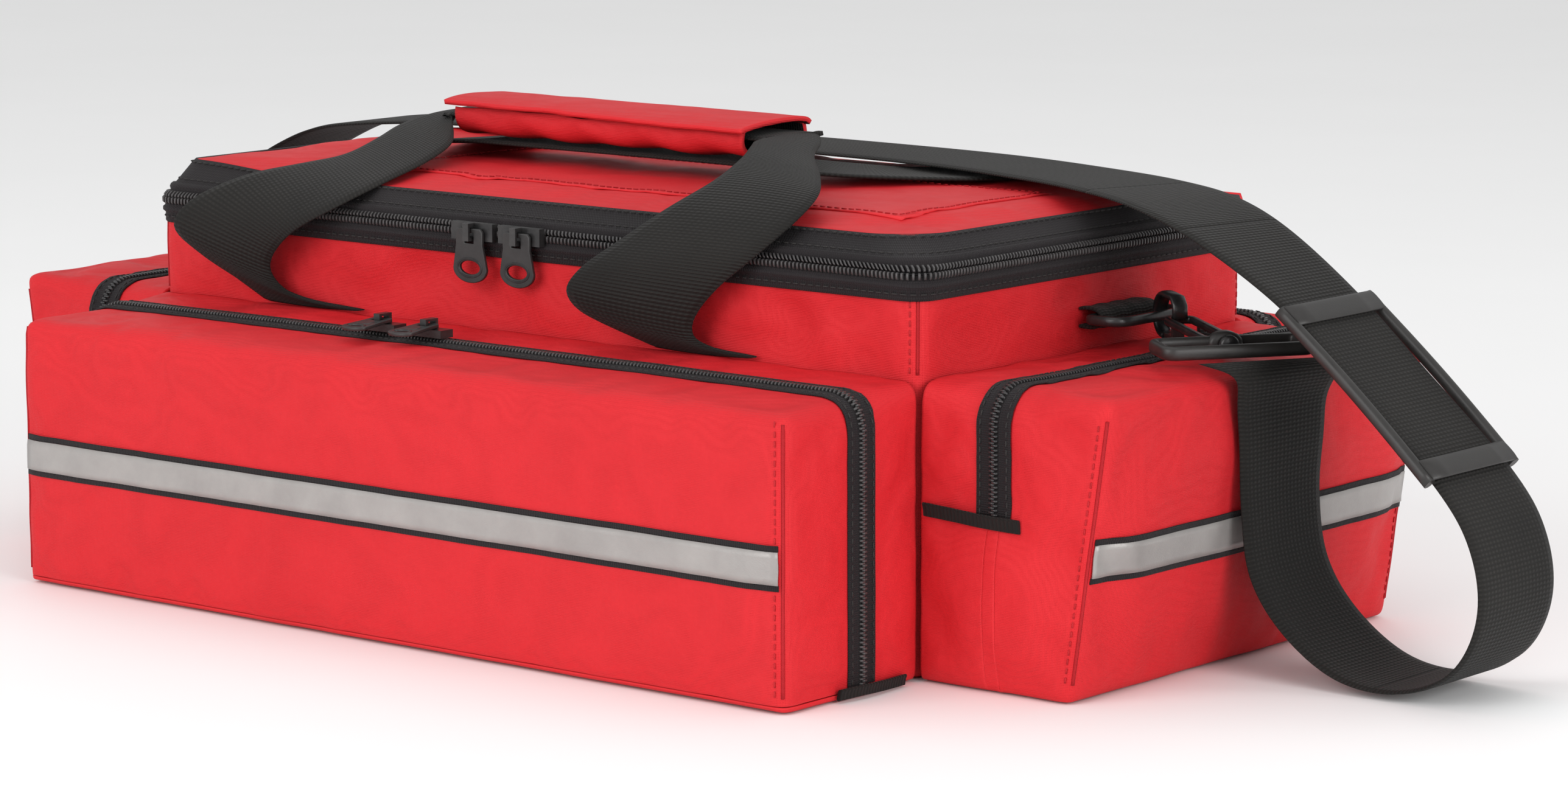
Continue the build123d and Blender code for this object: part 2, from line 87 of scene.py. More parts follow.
# ---- materials ----
class Shader:
    """A node material. add() makes a node, and links every input that is given a socket."""

    def __init__(self, name, **values):
        self.material = bpy.data.materials.new(name)
        self.material.use_nodes = True
        self.tree = self.material.node_tree
        self.surface = self.tree.nodes["Principled BSDF"]
        for socket, value in values.items():
            self.surface.inputs[socket.replace("_", " ")].default_value = value

    def add(self, kind, inputs=None, out=0, **settings):
        node = self.tree.nodes.new("ShaderNode" + kind)
        for key, value in settings.items():
            setattr(node, key, value)
        for key, value in (inputs or {}).items():
            if isinstance(value, bpy.types.NodeSocket):
                self.tree.links.new(value, node.inputs[key])
            else:
                node.inputs[key].default_value = value
        return node.outputs[out]

    def place(self, kind="Object"):
        return self.add("TexCoord", out=kind)

    def noise(self, scale, detail, rough=0.55):
        inputs = {"Vector": self.place(), "Scale": scale, "Detail": detail, "Roughness": rough}
        return self.add("TexNoise", inputs)

    def wave(self, direction, pitch, kind="Object"):
        """A smooth ripple from 0 to 1 that repeats every pitch metres."""
        inputs = {"Vector": self.place(kind), "Scale": 2 * math.pi / (20 * pitch)}
        return self.add("TexWave", inputs, out="Fac", bands_direction=direction)

    def math(self, operation, a, b):
        return self.add("Math", {0: a, 1: b}, operation=operation)

    def range(self, value, low, high, from_low=0.0, from_high=1.0):
        inputs = {"Value": value, "From Min": from_low, "From Max": from_high, "To Min": low, "To Max": high}
        return self.add("MapRange", inputs)

    def blend(self, share, one, other):
        inputs = {"Factor": share, 6: (*one, 1), 7: (*other, 1)}
        return self.add("Mix", inputs, out=2, data_type="RGBA")

    def bump(self, height, distance, strength, under=None):
        inputs = {"Height": height, "Distance": distance, "Strength": strength}
        if under is not None:
            inputs["Normal"] = under
        return self.add("Bump", inputs)

    def use(self, **sockets):
        for socket, value in sockets.items():
            self.tree.links.new(value, self.surface.inputs[socket.replace("_", " ")])
        return self.material


def cloth_material(name, light, dark, pitch, roughness):
    """Coated plain-weave cloth: fine weave, soft creases, and tone that drifts over the panel."""
    s = Shader(name, Specular_IOR_Level=0.18)
    weave = s.math("MULTIPLY", s.math("ADD", s.wave("X", pitch), s.wave("Y", pitch)), s.wave("Z", pitch))
    threads = s.math("ADD", s.math("MULTIPLY", s.noise(1400, 2), 0.5), weave)
    soft = s.noise(9, 4)
    crease = s.noise(38, 5, rough=0.62)
    tone = s.math("ADD", s.range(soft, 0.0, 0.7), s.range(s.noise(420, 3), -0.15, 0.2))
    colour = s.blend(s.range(tone, 0.0, 1.0, 0.1, 0.75), dark, light)
    edge = s.add("NewGeometry", out="Pointiness")
    rubbed = tuple(min(1, c * 1.25 + 0.02) for c in light) + (1,)
    inputs = {"Fac": s.range(edge, 0.0, 0.35, 0.52, 0.62), "Color1": colour, "Color2": rubbed}
    worn = s.add("MixRGB", inputs)
    normal = s.bump(crease, 0.0022, 0.5)
    normal = s.bump(soft, 0.006, 0.45, normal)
    normal = s.bump(threads, 0.00016, 0.6, normal)
    rough = s.range(s.noise(120, 4), roughness - 0.06, roughness + 0.08)
    return s.use(Base_Color=worn, Roughness=rough, Normal=normal)


def webbing_material(name, light, dark, rib=0.0022, cord=0.0031):
    """Ribbed narrow weave; its texture runs along and across the webbing's own UV map, in metres."""
    s = Shader(name, Sheen_Weight=0.04, Sheen_Roughness=0.4, Specular_IOR_Level=0.22)
    ribs = s.wave("X", rib, "UV")
    cords = s.wave("Y", cord, "UV")
    fine = s.noise(1800, 3)
    basket = s.math("MULTIPLY", ribs, s.range(cords, 0.45, 1.0))
    height = s.math("ADD", basket, s.math("MULTIPLY", fine, 0.35))
    # The lighter colour goes on the raised ribs as a painted highlight on their tops, and also drifts at
    # random over the webbing in patches of tone.
    rib_highlight_and_tone = s.math("MULTIPLY", s.range(s.noise(16, 4), 0.35, 1.0, 0.3, 0.75), s.range(basket, 0.25, 1.0))
    colour = s.blend(rib_highlight_and_tone, dark, light)
    normal = s.bump(height, 0.0006, 0.9)
    rough = s.range(fine, 0.62, 0.85)
    return s.use(Base_Color=colour, Roughness=rough, Normal=normal)


def moulded_material(name, light, dark, roughness, metallic=0.0):
    """Moulded plastic, rubber or painted metal: fine grain, and lighter where edges rub."""
    s = Shader(name, Metallic=metallic, Specular_IOR_Level=0.45)
    grains = s.noise(900, 4)
    scuffs = s.noise(70, 6, rough=0.7)
    edge = s.add("NewGeometry", out="Pointiness")
    share = s.math("ADD", s.range(scuffs, 0.0, 0.6, 0.35, 0.75), s.range(edge, 0.0, 0.5, 0.52, 0.65))
    colour = s.blend(share, dark, light)
    normal = s.bump(grains, 0.00012, 0.5)
    rough = s.range(scuffs, roughness - 0.08, roughness + 0.12)
    return s.use(Base_Color=colour, Roughness=rough, Normal=normal)


def reflective_material():
    s = Shader("reflective_tape", Metallic=0.25, Specular_IOR_Level=0.6)
    beads = s.add("TexVoronoi", {"Vector": s.place(), "Scale": 1500.0})
    smudge = s.noise(25, 5, rough=0.65)
    colour = s.blend(s.range(smudge, 0.0, 1.0, 0.3, 0.7), (0.29, 0.272, 0.262), (0.37, 0.35, 0.336))
    normal = s.bump(beads, 0.00008, 0.6, s.bump(smudge, 0.0012, 0.4))
    rough = s.range(smudge, 0.34, 0.5)
    return s.use(Base_Color=colour, Roughness=rough, Normal=normal)


RED = cloth_material("red_cloth", (0.66, 0.022, 0.029), (0.55, 0.016, 0.022), 0.0008, 0.58)
LINING = cloth_material("grey_lining", (0.085, 0.085, 0.09), (0.05, 0.05, 0.054), 0.0006, 0.6)
FOAM = cloth_material("foam_lining", (0.14, 0.14, 0.145), (0.09, 0.09, 0.095), 0.0007, 0.7)
TAPE = webbing_material("zip_tape", (0.026, 0.021, 0.023), (0.012, 0.010, 0.011), 0.0011, 0.0016)
STRAP = webbing_material("webbing", (0.024, 0.022, 0.0195), (0.006, 0.0055, 0.005))
HOOK_TAPE = webbing_material("hook_tape", (0.02, 0.02, 0.02), (0.006, 0.006, 0.006), 0.0016, 0.0016)
TEETH = moulded_material("zip_teeth", (0.07, 0.065, 0.065), (0.02, 0.019, 0.02), 0.32)
THREAD = webbing_material("thread", (0.085, 0.078, 0.076), (0.04, 0.037, 0.036), 0.0006, 0.0006)
RED_THREAD = cloth_material("red_thread", (0.50, 0.017, 0.024), (0.34, 0.010, 0.014), 0.0005, 0.6)
METAL = moulded_material("black_metal", (0.075, 0.073, 0.072), (0.016, 0.016, 0.017), 0.30, 0.55)
PLASTIC = moulded_material("black_plastic", (0.034, 0.031, 0.030), (0.014, 0.013, 0.012), 0.42)
RUBBER = moulded_material("pull_rubber", (0.045, 0.043, 0.042), (0.014, 0.014, 0.014), 0.40)
REFLECT = reflective_material()


# ---- mesh helpers ----
def make(name, verts, faces, materials, uvs=None):
    """A mesh object. uvs is one (u, v) per vertex, in metres."""
    mesh = bpy.data.meshes.new(name)
    mesh.from_pydata([tuple(v) for v in verts], [], [tuple(f) for f in faces])
    for material in materials:
        mesh.materials.append(material)
    if uvs is not None:
        layer = mesh.uv_layers.new(name="UVMap")
        layer.data.foreach_set("uv", np.asarray(uvs, float)[corner_points(mesh)].ravel())
    mesh.polygons.foreach_set("use_smooth", [len(f) <= 4 for f in faces])
    mesh.update()
    obj = bpy.data.objects.new(name, mesh)
    scene.collection.objects.link(obj)
    return obj


def read(items, key, size):
    values = np.zeros(len(items) * size)
    items.foreach_get(key, values)
    return values.reshape(-1, size)


def coords(mesh):
    return read(mesh.vertices, "co", 3)


def normals(mesh):
    return read(mesh.vertex_normals, "vector", 3)


def corner_points(mesh):
    """The vertex number of every face corner."""
    numbers = np.zeros(len(mesh.loops), int)
    mesh.loops.foreach_get("vertex_index", numbers)
    return numbers


def unit(rows):
    return rows / np.linalg.norm(rows, axis=1)[:, None]


def distances(points):
    """How far along its path each point lies."""
    return np.concatenate([[0], np.cumsum(np.linalg.norm(np.diff(points, axis=0), axis=1))])


def join(name, objs):
    """One object from several. Materials keep their faces."""
    bpy.ops.object.select_all(action="DESELECT")
    for obj in objs:
        obj.select_set(True)
    bpy.context.view_layer.objects.active = objs[0]
    bpy.ops.object.join()
    objs[0].name = name
    return objs[0]


def grid_box(lo, hi, cell):
    """A closed box of near-square quads: its points, faces, and on how many of the box's
    sides each point lies."""
    counts = [max(2, round((h - l) / cell)) for l, h in zip(lo, hi)]
    index, faces = {}, []
    for axis in range(3):
        a, b = (axis + 1) % 3, (axis + 2) % 3
        for end in (0, counts[axis]):
            for i in range(counts[a]):
                for j in range(counts[b]):
                    face = []
                    for di, dj in ((0, 0), (1, 0), (1, 1), (0, 1)):
                        key = [0, 0, 0]
                        key[axis], key[a], key[b] = end, i + di, j + dj
                        face.append(index.setdefault(tuple(key), len(index)))
                    faces.append(face if end else face[::-1])
    steps, counts = np.array(list(index)), np.array(counts)
    sides = ((steps == 0) | (steps == counts)).sum(1)
    lo, hi = np.array(lo), np.array(hi)
    return lo + (hi - lo) * steps / counts, faces, sides


def lattice(rows, columns, ring=False, loop=False, caps=False, flip=False):
    """Quads over points laid row by row. ring closes every row, loop joins the last row to
    the first, caps closes both ends, and flip turns the faces over."""
    faces = []
    for r in range(rows if loop else rows - 1):
        low, high = r * columns, (r + 1) % rows * columns
        for c in range(columns if ring else columns - 1):
            d = (c + 1) % columns
            quad = (low + c, high + c, high + d, low + d)
            faces.append((quad[0], quad[3], quad[2], quad[1]) if flip else quad)
    if caps:
        first, last = tuple(range(columns)), tuple(range((rows - 1) * columns, rows * columns))
        faces += [first[::-1], last] if flip else [first, last[::-1]]
    return faces


def face_outwards(mesh, weld=None):
    bm = bmesh.new()
    bm.from_mesh(mesh)
    if weld:
        bmesh.ops.remove_doubles(bm, verts=bm.verts, dist=weld)
    bmesh.ops.recalc_face_normals(bm, faces=bm.faces)
    bm.to_mesh(mesh)
    bm.free()


def move_points(obj, points):
    obj.data.vertices.foreach_set("co", points.ravel())
    obj.data.update()


def round_edge(points, a, wall_a, b, wall_b, radius):
    """Rounds the box edge where coordinate a meets wall_a and b meets wall_b. radius may
    be one number, or one per point."""
    radius = np.broadcast_to(radius, len(points))
    sa = 1 if wall_a < points[:, a].mean() else -1
    sb = 1 if wall_b < points[:, b].mean() else -1
    da, db = (points[:, a] - wall_a) * sa, (points[:, b] - wall_b) * sb
    near = (da < radius) & (db < radius)
    va, vb = da[near] - radius[near], db[near] - radius[near]
    length = np.maximum(np.hypot(va, vb), 1e-9)
    points[near, a] = wall_a + sa * (radius[near] + va / length * radius[near])
    points[near, b] = wall_b + sb * (radius[near] + vb / length * radius[near])
    return points


def ripple(points, scale, seed, octaves=2):
    """Smooth noise from about -1 to 1 at each point."""
    shift = Vector((seed * 7.3, seed * 3.1, seed * 5.7))
    return np.array([noise.fractal(Vector(p) * scale + shift, 0.6, 2.0, octaves) for p in points])


def inflate(obj, pinned, pressure, grow, cap):
    """Cloth simulation of a closed cover that is held at pinned: its new points."""
    rest, frames = coords(obj.data), 18
    group = obj.vertex_groups.new(name="held")
    group.add([int(i) for i in np.nonzero(pinned)[0]], 1.0, "REPLACE")
    cloth = obj.modifiers.new("cloth", "CLOTH")
    settings = cloth.settings
    settings.quality = 5
    settings.mass = 0.25
    settings.tension_stiffness = settings.compression_stiffness = 12
    settings.shear_stiffness = 6
    settings.bending_stiffness = 0.35
    settings.use_pressure = True
    settings.uniform_pressure_force = pressure
    settings.shrink_min = -grow
    settings.vertex_group_mass = "held"
    settings.effector_weights.gravity = 0
    cloth.point_cache.frame_start = 1
    cloth.point_cache.frame_end = frames
    for number in range(1, frames + 1):
        scene.frame_set(number)
    evaluated = obj.evaluated_get(bpy.context.evaluated_depsgraph_get())
    moved = coords(evaluated.data) - rest
    obj.modifiers.remove(cloth)
    scene.frame_set(1)
    length = np.maximum(np.linalg.norm(moved, axis=1), 1e-9)[:, None]
    return rest + moved * np.minimum(1, cap / length)


class Form:
    """A closed soft cover: a shaped grid box, blown up by simulation, then creased by noise.
    Pieces are cut from it, and zips and stripes are laid on it."""

    def __init__(
        self, lo, hi, shape, held, *, cell, pressure, grow, cap, crease, seed, dents=(), quiet=None
    ):
        """shape rounds the box's points, held(points) says which stay put, and quiet(points)
        which get no creases. grow is the cloth's spare length, and cap how far it may swell."""
        points, faces, sides = grid_box(lo, hi, cell)
        flat = points.copy()
        points = shape(points)
        obj = make("form", points, faces, [RED, LINING])
        wobble = ripple(flat, 9, seed)[:, None] * normals(obj.data) * crease * 0.6
        move_points(obj, points + wobble * (sides < 2)[:, None])
        pinned = (sides >= 2) | held(flat)
        points = inflate(obj, pinned, pressure, grow, cap)
        free = np.where(pinned, 0.25, 1.0)
        if quiet is not None:
            free[quiet(flat)] = 0
        move_points(obj, points)
        depth = ripple(flat, 26, seed + 1, 3) * crease * free
        for centre, along_fold, length, width, deep in dents:
            away = points - np.array(centre) / 1000
            fold = np.array(along_fold) / np.linalg.norm(along_fold)
            run = away @ fold
            off = np.linalg.norm(away - run[:, None] * fold, axis=1)
            near = np.exp(-((run * 1000 / length) ** 2) - (off * 1000 / width) ** 2)
            depth -= deep / 1000 * near * (free > 0.2)
        points = points + normals(obj.data) * depth[:, None]
        move_points(obj, points)
        self.obj = obj
        self.tree = BVHTree.FromPolygons([Vector(p) for p in points], faces)

    def cut(self, name, *planes, thick=0.0022, levels=2):
        """The part of the cover in front of every (point, normal) plane, as sewn cloth with
        its lining inside."""
        bm = bmesh.new()
        bm.from_mesh(self.obj.data)
        for point, normal in planes:
            geom = bm.verts[:] + bm.edges[:] + bm.faces[:]
            bmesh.ops.bisect_plane(bm, geom=geom, plane_co=point, plane_no=normal, clear_inner=True)
        mesh = bpy.data.meshes.new(name)
        bm.to_mesh(mesh)
        bm.free()
        for material in (RED, LINING):
            mesh.materials.append(material)
        piece = bpy.data.objects.new(name, mesh)
        scene.collection.objects.link(piece)
        soften(piece, levels)
        thicken(piece, thick)
        return piece

    def on(self, point, normal, lift):
        """The point laid on the cover from outside, lift above it."""
        start = Vector(point) + Vector(normal) * 0.03
        hit = self.tree.ray_cast(start, -Vector(normal), 0.06)[0]
        return (hit if hit else Vector(point)) + Vector(normal) * lift


def soften(obj, levels):
    sub = obj.modifiers.new("round", "SUBSURF")
    sub.levels = sub.render_levels = levels
    sub.boundary_smooth = "PRESERVE_CORNERS"


def thicken(obj, thick, inside=1):
    solid = obj.modifiers.new("thickness", "SOLIDIFY")
    solid.thickness = thick
    solid.offset = -1
    solid.material_offset = inside


def resample(points, step):
    """The same open path with points about step apart."""
    points = np.array(points, float)
    lengths = distances(points)
    where = np.linspace(0, lengths[-1], max(2, int(round(lengths[-1] / step)) + 1))
    return np.stack([np.interp(where, lengths, points[:, k]) for k in range(3)], 1), where


def arch(half, low, high, radius, fixed, plane):
    """A zip's route over a box: up one side, over the top and down the other, with rounded
    corners, and its outward normals. plane is the axis that it keeps to, at fixed."""
    flat = [(-half, low), (-half, high - radius)]
    for k in range(1, 9):
        turn = math.pi / 2 * k / 9
        flat.append((-half + radius * (1 - math.cos(turn)), high - radius * (1 - math.sin(turn))))
    flat.append((-half + radius, high))
    flat += [(-x, z) for x, z in reversed(flat)]
    route = [(x, fixed, z) if plane == 1 else (fixed, x, z) for x, z in flat]
    points, where = resample(route, 0.003)
    tangent = unit(np.gradient(points, axis=0))
    side = np.zeros_like(points)
    side[:, plane] = 1
    outward = np.cross(tangent, side)
    if outward[len(outward) // 2][2] < 0:
        outward = -outward
    return points, where, tangent, outward, side


def sweep(name, route, profile, material, form=None):
    """A closed profile of (sideways, height) points carried along a route, laid on a form."""
    points, where, _, outward, side = route
    rows, uvs = [], []
    for p, u, n, s in zip(points, where, outward, side):
        for (off, height), v in zip(profile, distances(profile)):
            base = p + s * off
            rows.append(form.on(base, n, height) if form else Vector(base + n * height))
            uvs.append((u, v))
    faces = lattice(len(points), len(profile), ring=True, caps=True, flip=True)
    return make(name, rows, faces, [material], uvs)


def along(route, pitch, start=0.0):
    """Frames at even steps along a route: (point, tangent, outward, side)."""
    where = route[1]

    def at(u, values):
        return np.array([np.interp(u, where, values[:, k]) for k in range(3)])

    vectors = (route[0], *route[2:])
    return [[at(u, values) for values in vectors] for u in np.arange(start, where[-1], pitch)]


def straight(points, where, ahead, outward, side):
    """A route whose directions stay the same all along it."""
    return (points, where, *(np.tile(v, (len(points), 1)) for v in (ahead, outward, side)))


def repeats(name, frames, shape, half_length, material, form=None, lift=0.0):
    """The same small prism at every frame: a closed (sideways, height) shape, half_length
    each way along the route."""
    verts, faces = [], []
    m = len(shape)
    for p, t, n, s in frames:
        first_off = s * shape[0][0]
        base = np.array(form.on(p + first_off, n, 0.0)) - first_off if form else p
        base = base + n * lift
        first = len(verts)
        for end in (-half_length, half_length):
            verts += [base + s * off + n * height + t * end for off, height in shape]
        for k in range(m):
            after = first + (k + 1) % m
            faces.append((first + k, after, after + m, first + k + m))
        faces += [tuple(range(first, first + m))[::-1], tuple(range(first + m, first + 2 * m))]
    uvs = [(v[0] + v[1], v[2]) for v in verts]
    return make(name, verts, faces, [material], uvs)


TOOTH_SHAPE = [
    (0.0026, 0.0008), (0.0026, 0.0017), (0.0019, 0.0024),
    (-0.0003, 0.0025), (-0.0009, 0.0019), (-0.0009, 0.0009),
]


def thread_shape(at, low, high, half=0.0003):
    """A stitch across its line: a little narrower on top."""
    return [(at - half, low), (at + half, low), (at + half - 0.0001, high), (at - half + 0.0001, high)]


def mirrored_shape(shape, away):
    """The shape on the other side of the zip's line for away -1, still wound the same way."""
    return shape if away > 0 else [(-a, b) for a, b in shape][::-1]


def zip_half(name, route, away, form):
    """One half of a zip: woven tape with a thicker edge, its coil, and a row of stitches."""
    tape = [
        (0.0004, 0.0002), (0.010, 0.0002), (0.0103, 0.0007), (0.0094, 0.0012),
        (0.006, 0.0009), (0.003, 0.0011), (0.0004, 0.0011),
    ]
    coil, stitches = along(route, 0.0022, 0.001 if away > 0 else 0.0021), along(route, 0.0042, 0.002)
    thread = thread_shape(0.0078, 0.0010, 0.0016)
    pieces = [
        sweep(name, route, mirrored_shape(tape, away), TAPE, form),
        repeats("teeth", coil, mirrored_shape(TOOTH_SHAPE, away), 0.00048, TEETH, form),
        repeats("stitches", stitches, mirrored_shape(thread, away), 0.0013, THREAD, form),
    ]
    return join(name, pieces)


# ---- pockets ----
def long_pocket_shape(sign, depth):
    """Rounds a front or back pocket's edges, and slopes its top down to its outer face."""
    wall, outer = -sign * HALF_D, -sign * (HALF_D + depth)

    def shape(p):
        out = np.abs(p[:, 1] - wall) / depth
        near_zip = np.clip(1 - np.abs(out - (0.45 if sign > 0 else 0.5)) / 0.5, 0, 1)
        for side in (-1, 1):
            p = round_edge(p, 0, side * HALF_L, 2, POCKET_H, 0.005 + 0.012 * near_zip)
            p = round_edge(p, 0, side * HALF_L, 1, outer, 0.005)
        p = round_edge(p, 1, outer, 2, POCKET_H, 0.006)
        p = round_edge(p, 1, outer, 2, 0.0, 0.004)
        p[:, 2] -= 0.005 * out * p[:, 2] / POCKET_H
        return p

    return shape


def end_pocket_shape(side):
    outer = side * (HALF_L + END_D)

    def shape(p):
        out = np.clip(np.abs(p[:, 0] - side * HALF_L) / END_D, 0, 1)
        near_zip = np.clip(1 - np.abs(out - 0.4) / 0.5, 0, 1)
        for y in (-HALF_D, HALF_D):
            p = round_edge(p, 1, y, 2, POCKET_H, 0.005 + 0.014 * near_zip)
            p = round_edge(p, 0, outer, 1, y, 0.006)
        p = round_edge(p, 0, outer, 2, POCKET_H, 0.006)
        p = round_edge(p, 0, outer, 2, 0.0, 0.004)
        p[:, 0] -= side * END_FLARE * out * (1 - p[:, 2] / POCKET_H)
        return p

    return shape


def long_pocket(prefix, sign, depth, zip_y, seed, folds=()):
    """Front (sign 1) or back pocket: a gusset on the bag, and a panel that folds down."""
    wall = -sign * HALF_D
    outer = wall - sign * depth
    lo = (-HALF_L, min(wall, outer), 0.0006)
    hi = (HALF_L, max(wall, outer), POCKET_H)

    def held(p):
        by_zip = np.abs(p[:, 1] - zip_y) < ZIP_HOLD
        return by_zip | (np.abs(p[:, 1] - wall) < SEAM_HOLD) | (p[:, 2] < SEAM_HOLD)

    # The open panel lies on the floor, so its cover may swell by little.
    form = Form(
        lo, hi, long_pocket_shape(sign, depth), held,
        cell=0.0075, pressure=1.4, grow=0.012, cap=0.0013, crease=0.0009, seed=seed, dents=folds,
    )
    near_zip, past_zip = (0, zip_y + sign * ZIP_SLIT, 0), (0, zip_y - sign * ZIP_SLIT, 0)
    inwards, outwards = (0, sign, 0), (0, -sign, 0)
    beside = (0, wall - sign * 0.002, 0)
    gusset = form.cut(f"{prefix}_gusset_cloth", (near_zip, inwards), (beside, outwards))
    base = form.cut(f"{prefix}_base_cloth", (near_zip, outwards), ((0, 0, 0.0036), DOWN))
    gusset = join_live(f"{prefix}_gusset_cloth", [gusset, base])
    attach(gusset, "bag")
    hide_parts(f"{prefix}_gusset")

    panel = form.cut(f"{prefix}_panel_cloth", (past_zip, outwards), ((0, 0, 0.0042), UP))
    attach(panel, f"{prefix}_flap")
    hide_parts(f"{prefix}_panel")

    out = abs(zip_y - wall) / depth
    route = arch(HALF_L, 0.006, POCKET_H - 0.005 * out, 0.017, zip_y, 1)
    for part, away, body in (("fixed", sign, "bag"), ("flap", -sign, f"{prefix}_flap")):
        half = zip_half(f"{prefix}_zip_{part}_tape", route, away, form)
        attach(half, body)
        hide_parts(f"{prefix}_zip_{part}")
    return form


def join_live(name, objs):
    """Joins objects after their modifiers are applied."""
    for obj in objs:
        evaluated = obj.evaluated_get(bpy.context.evaluated_depsgraph_get())
        mesh = bpy.data.meshes.new_from_object(evaluated)
        obj.modifiers.clear()
        obj.data = mesh
    return join(name, objs)


def end_pocket(name, side, seed):
    """End pocket: the part against the bag, and the part beyond the zip, whose top folds out."""
    outer = side * (HALF_L + END_D)
    lo = (min(side * HALF_L, outer), -HALF_D, 0.0006)
    hi = (max(side * HALF_L, outer), HALF_D, POCKET_H)
    zip_x = side * END_ZIP_X

    def held(p):
        by_zip = (np.abs(p[:, 0] - zip_x) < ZIP_HOLD) & (p[:, 2] > END_FOLD_Z)
        return by_zip | (np.abs(p[:, 0] - side * HALF_L) < SEAM_HOLD) | (p[:, 2] < SEAM_HOLD)

    form = Form(
        lo, hi, end_pocket_shape(side), held,
        cell=0.0075, pressure=1.4, grow=0.012, cap=0.006, crease=0.0011, seed=seed,
    )
    near_zip, past_zip = (zip_x - side * ZIP_SLIT, 0, 0), (zip_x + side * ZIP_SLIT, 0, 0)
    inwards, outwards = (-side, 0, 0), (side, 0, 0)
    wall = (side * (HALF_L + 0.002), 0, 0)
    near = form.cut(f"{name}_pocket_cloth", (near_zip, inwards), (wall, outwards))
    below = form.cut("below", (near_zip, outwards), (past_zip, inwards), ((0, 0, END_FOLD_Z + 0.001), DOWN))
    near = join_live(f"{name}_pocket_cloth", [near, below])
    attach(near, "bag")
    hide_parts(f"{name}_pocket")

    far = form.cut(f"{name}_flap_cloth", (past_zip, outwards))
    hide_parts(f"{name}_flap", f"{name}_flap_sides")
    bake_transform(far)

    route = arch(HALF_D, END_FOLD_Z + 0.003, POCKET_H, 0.019, zip_x, 0)
    flap_zip = zip_half(f"{name}_zip_flap_tape", route, side, form)
    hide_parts(f"{name}_zip_flap")
    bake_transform(flap_zip)
    return form, zip_half(f"{name}_zip_fixed_tape", route, -side, form)


# Soft folds in the front panel, given as WALL_DENTS gives them.
FRONT_FOLDS = [
    ((-215, -238, 118), (1, 0, -0.7), 42, 6, 1.6),
    ((-180, -238, 112), (1, 0, -0.6), 36, 5, 1.3),
    ((-120, -238, 105), (1, 0, -0.35), 50, 7, 1.2),
    ((30, -238, 112), (1, 0, -0.2), 60, 8, 1.0),
    ((-225, -238, 40), (1, 0, 0.5), 30, 6, 1.0),
]
front_form = long_pocket("front", 1, 0.101, FRONT_ZIP_Y, 3, FRONT_FOLDS)
back_form = long_pocket("back", -1, 0.056, BACK_ZIP_Y, 11)
left_form, left_fixed = end_pocket("left", -1, 17)
right_form, right_fixed = end_pocket("right", 1, 23)
end_zips = join("end_zips_fixed_tape", [left_fixed, right_fixed])
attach(end_zips, "bag")
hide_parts("end_zips_fixed")


# ---- reflective stripes ----
def stripe(name, form, ends, normal):
    """Grey tape between two narrow black edges, laid on a pocket's outer face."""
    steps, rows = 90, 6
    start, end = Vector(ends[0]), Vector(ends[1])
    pieces = []
    for foot, head, lift, material in (
        (STRIPE_LOW - 0.0022, STRIPE_LOW + 0.0006, 0.0007, TAPE),
        (STRIPE_LOW + 0.0007, STRIPE_HIGH - 0.0007, 0.0013, REFLECT),
        (STRIPE_HIGH - 0.0006, STRIPE_HIGH + 0.0022, 0.0009, TAPE),
    ):
        verts, uvs = [], []
        for k in range(steps + 1):
            p = start.lerp(end, k / steps)
            for z in np.linspace(foot, head, rows):
                verts.append(form.on((p.x, p.y, z), normal, lift))
                uvs.append(((end - start).length * k / steps, z))
        piece = make(name, verts, lattice(steps + 1, rows), [material], uvs)
        if piece.data.polygons[0].normal.dot(Vector(normal)) < 0:
            piece.data.flip_normals()
        thicken(piece, 0.0007, 0)
        pieces.append(piece)
    return join_live(name, pieces)


front_ends = ((-0.2535, FRONT, 0), (0.2535, FRONT, 0))
front_stripe = stripe("front_stripe_tape", front_form, front_ends, (0, -1, 0))
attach(front_stripe, "front_flap")
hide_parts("front_stripe")
side_stripes = [
    stripe("end", form, ((side * 0.358, -0.133, 0), (side * 0.358, 0.133, 0)), (side, 0, 0))
    for form, side in ((left_form, -1), (right_form, 1))
]
end_stripes = join("end_stripes_tape", side_stripes)
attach(end_stripes, "bag")
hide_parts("end_stripes")


# ---- main compartment ----
# Where the handles, their ends and the ring tabs pull the cloth: centre and direction of each
# fold, then its length, width and depth, in millimetres.
WALL_DENTS = [
    ((175, -137, 172), (1, 0, -0.45), 26, 9, 4.8),
    ((205, -137, 176), (1, 0, -0.5), 22, 6, 3.1),
    ((160, -137, 156), (1, 0, 0.1), 30, 6, 4.2),
    ((215, -137, 158), (1, 0, -0.8), 20, 7, 2.5),
    ((-70, -137, 168), (1, 0, 0.5), 28, 8, 4.2),
    ((-95, -137, 158), (1, 0, 0.3), 26, 6, 3.6),
    ((-25, -137, 162), (1, 0, -0.4), 24, 8, 2.5),
    ((257, -60, 168), (0, 1, 0.4), 30, 8, 3.6),
    ((257, -15, 174), (0, 1, 0.5), 24, 8, 4.5),
    ((257, 60, 172), (0, 1, -0.5), 26, 8, 3.6),
    ((257, 100, 166), (0, 1, 0.3), 22, 7, 2.5),
    ((-257, 15, 172), (0, 1, 0.3), 30, 9, 3.4),
    ((-40, 137, 168), (1, 0, 0.3), 40, 9, 3.4),
    ((120, 137, 165), (1, 0, -0.5), 30, 8, 3.6),
]


